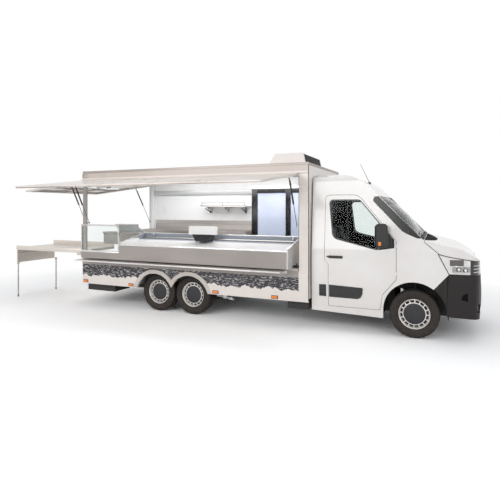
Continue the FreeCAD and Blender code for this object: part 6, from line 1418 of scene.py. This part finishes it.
def cover(width, length, thickness):
    """The mesh of one cushion's cover, lying flat about its own middle."""
    shape = bmesh.new()
    made = panel(shape, (-length / 2, -width / 2, -thickness / 2), (length / 2, width / 2, thickness / 2),
                 thickness * 0.30, 4)
    bmesh.ops.subdivide_edges(shape, edges=[e for e in shape.edges if e.calc_length() > 0.06], cuts=7,
                              use_grid_fill=True)
    for vertex in shape.verts:
        u, v = vertex.co.x / (length / 2), vertex.co.y / (width / 2)
        crown = max(0.0, 1 - u * u) * max(0.0, 1 - v * v)
        vertex.co.z += (0.012 if vertex.co.z > 0 else -0.004) * crown
        vertex.co.y *= 1 - 0.02 * max(0.0, 1 - u * u)
        vertex.co.x *= 1 - 0.02 * max(0.0, 1 - v * v)
    mesh = bpy.data.meshes.new("cushion_cover")
    shape.to_mesh(mesh)
    shape.free()
    pad = bpy.data.objects.new("cushion_cover", mesh)
    scene.collection.objects.link(pad)
    blow_up(pad, 0.022)
    mesh = pad.data
    bpy.data.objects.remove(pad)
    return mesh


def blow_up(pad, cap):
    """Lets cloth under air pressure settle for twenty frames, and keeps how far it went within a cap."""
    remesh = pad.modifiers.new("even_grid", "REMESH")
    remesh.mode = "VOXEL"
    remesh.voxel_size = 0.006
    keep_mesh(pad)
    before = [vertex.co.copy() for vertex in pad.data.vertices]
    cloth = pad.modifiers.new("stuffing", "CLOTH")
    cloth.settings.use_pressure = True
    cloth.settings.uniform_pressure_force = 4.0
    cloth.settings.effector_weights.gravity = 0.0
    cloth.settings.quality = 5
    cloth.point_cache.frame_start = 1
    cloth.point_cache.frame_end = 20
    for frame_number in range(1, 21):
        scene.frame_set(frame_number)
    keep_mesh(pad)
    scene.frame_set(1)
    for vertex, old in zip(pad.data.vertices, before):
        step = vertex.co - old
        if step.length > cap:
            vertex.co = old + step * (cap / step.length)


def keep_mesh(made):
    """Applies an object's modifiers to its mesh."""
    settled = bpy.data.meshes.new_from_object(made.evaluated_get(bpy.context.evaluated_depsgraph_get()))
    made.modifiers.clear()
    made.data = settled


SEATS = [("driver", 0.48, 0.24, (0.0,)), ("bench_outer", -0.575, 0.190, (0.0,)),
         ("bench_inner", -0.165, 0.190, (0.0,))]
for label, middle, half, channels in SEATS:
    lean = radians(8.5)
    base_place = Matrix.Translation(spot(-1.055, middle, 0.782)) @ Matrix.Rotation(radians(-4), 4, "Y")
    back_place = (Matrix.Translation(spot(-1.325, middle, 1.145)) @ Matrix.Rotation(lean, 4, "Y").inverted()
                  @ Matrix.Rotation(radians(90), 4, "Y"))
    rest_place = (Matrix.Translation(spot(-1.372, middle, 1.475)) @ Matrix.Rotation(lean, 4, "Y").inverted()
                  @ Matrix.Rotation(radians(90), 4, "Y"))
    cushions = [("base", half * 2 - 0.05, 0.44, 0.105, base_place, (-0.26, 0.26)),
                ("back", half * 2 - 0.06, 0.56, 0.095, back_place, (-0.26, 0.26)),
                ("rest", 0.24, 0.13, 0.075, rest_place, ())]
    for part_name, width, length, thickness, place, seams in cushions:
        made = piece(f"seat_{label}_{part_name}", cushion(width, length, thickness, place, seams), "root",
                     seat_cloth,
                     70)
        smooth = made.modifiers.new("even_cover", "SUBSURF")
        smooth.levels = smooth.render_levels = 1
    shape = bmesh.new()
    low, high = sorted((middle - half + 0.03, middle + half - 0.03))
    foot = slab(shape, (-1.33, low, 0.480), (-0.87, high, 0.738), 0.03, 3)
    for vertex in foot:
        if vertex.co.z < 0.6:
            vertex.co.x += 0.03 * (1 if vertex.co.x < spot(-1.1, 0, 0).x else -1)
    slab(shape, (-1.412, low + 0.02, 0.80), (-1.392, high - 0.02, 1.42), 0.008, 2)
    for pin in (-0.045, 0.045):
        bar(shape, spot(-1.362, middle + pin, 1.38), spot(-1.378, middle + pin, 1.46), 0.006, 0.006, 12)
    piece(f"seat_{label}_frame", shape, "root", trim_black)
    shape = bmesh.new()
    for part_name, width, length, thickness, place, seams in cushions[:2]:
        for along, across, other in ((1, 0, 0), (-1, 0, 0), (0, 1, 0), (0, -1, 0)):
            ends = ([(along * (length / 2 - 0.018), -width / 2 + 0.03),
                     (along * (length / 2 - 0.018), width / 2 - 0.03)]
                    if along else [(-length / 2 + 0.03, across * (width / 2 - 0.018)),
                                   (length / 2 - 0.03, across * (width / 2 - 0.018))])
            first, last = (place @ Vector((*end, thickness / 2 - 0.006)) for end in ends)
            bar(shape, first, last, 0.0045, 0.0045, 10)
    piece(f"seat_{label}_piping", shape, "root", piping)
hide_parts("cab_seats")

# Dashboard and steering wheel: grained charcoal moulding with vents, a dial hood and a blank radio panel
dash_grey = finish("dash_moulding", "1E1F21", "151617", grain=20, rough=(0.55, 0.7), bump=0.3, bump_grain=800)
dress(dash_grey, "dashboard")
dash_low, dash_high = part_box("dashboard")
shape = bmesh.new()
for across in (-0.78, -0.16, 0.20, 0.80):
    where = surface_out("dashboard", spot(-0.3, across, 1.22), (-1, 0, 0.15))[0]
    for row in range(4):
        up = where.z - 0.03 + row * 0.02
        panel(shape, (where.x - 0.004, where.y - 0.06, up - 0.003),
              (where.x + 0.012, where.y + 0.06, up + 0.003),
              0.002, 1)
where = surface_out("dashboard", spot(-0.3, 0.0, 1.06), (-1, 0, 0))[0]
panel(shape, (where.x - 0.005, where.y - 0.10, 1.03), (where.x + 0.01, where.y + 0.10, 1.11), 0.004, 2)
piece("dash_vents", shape, "root", piping)
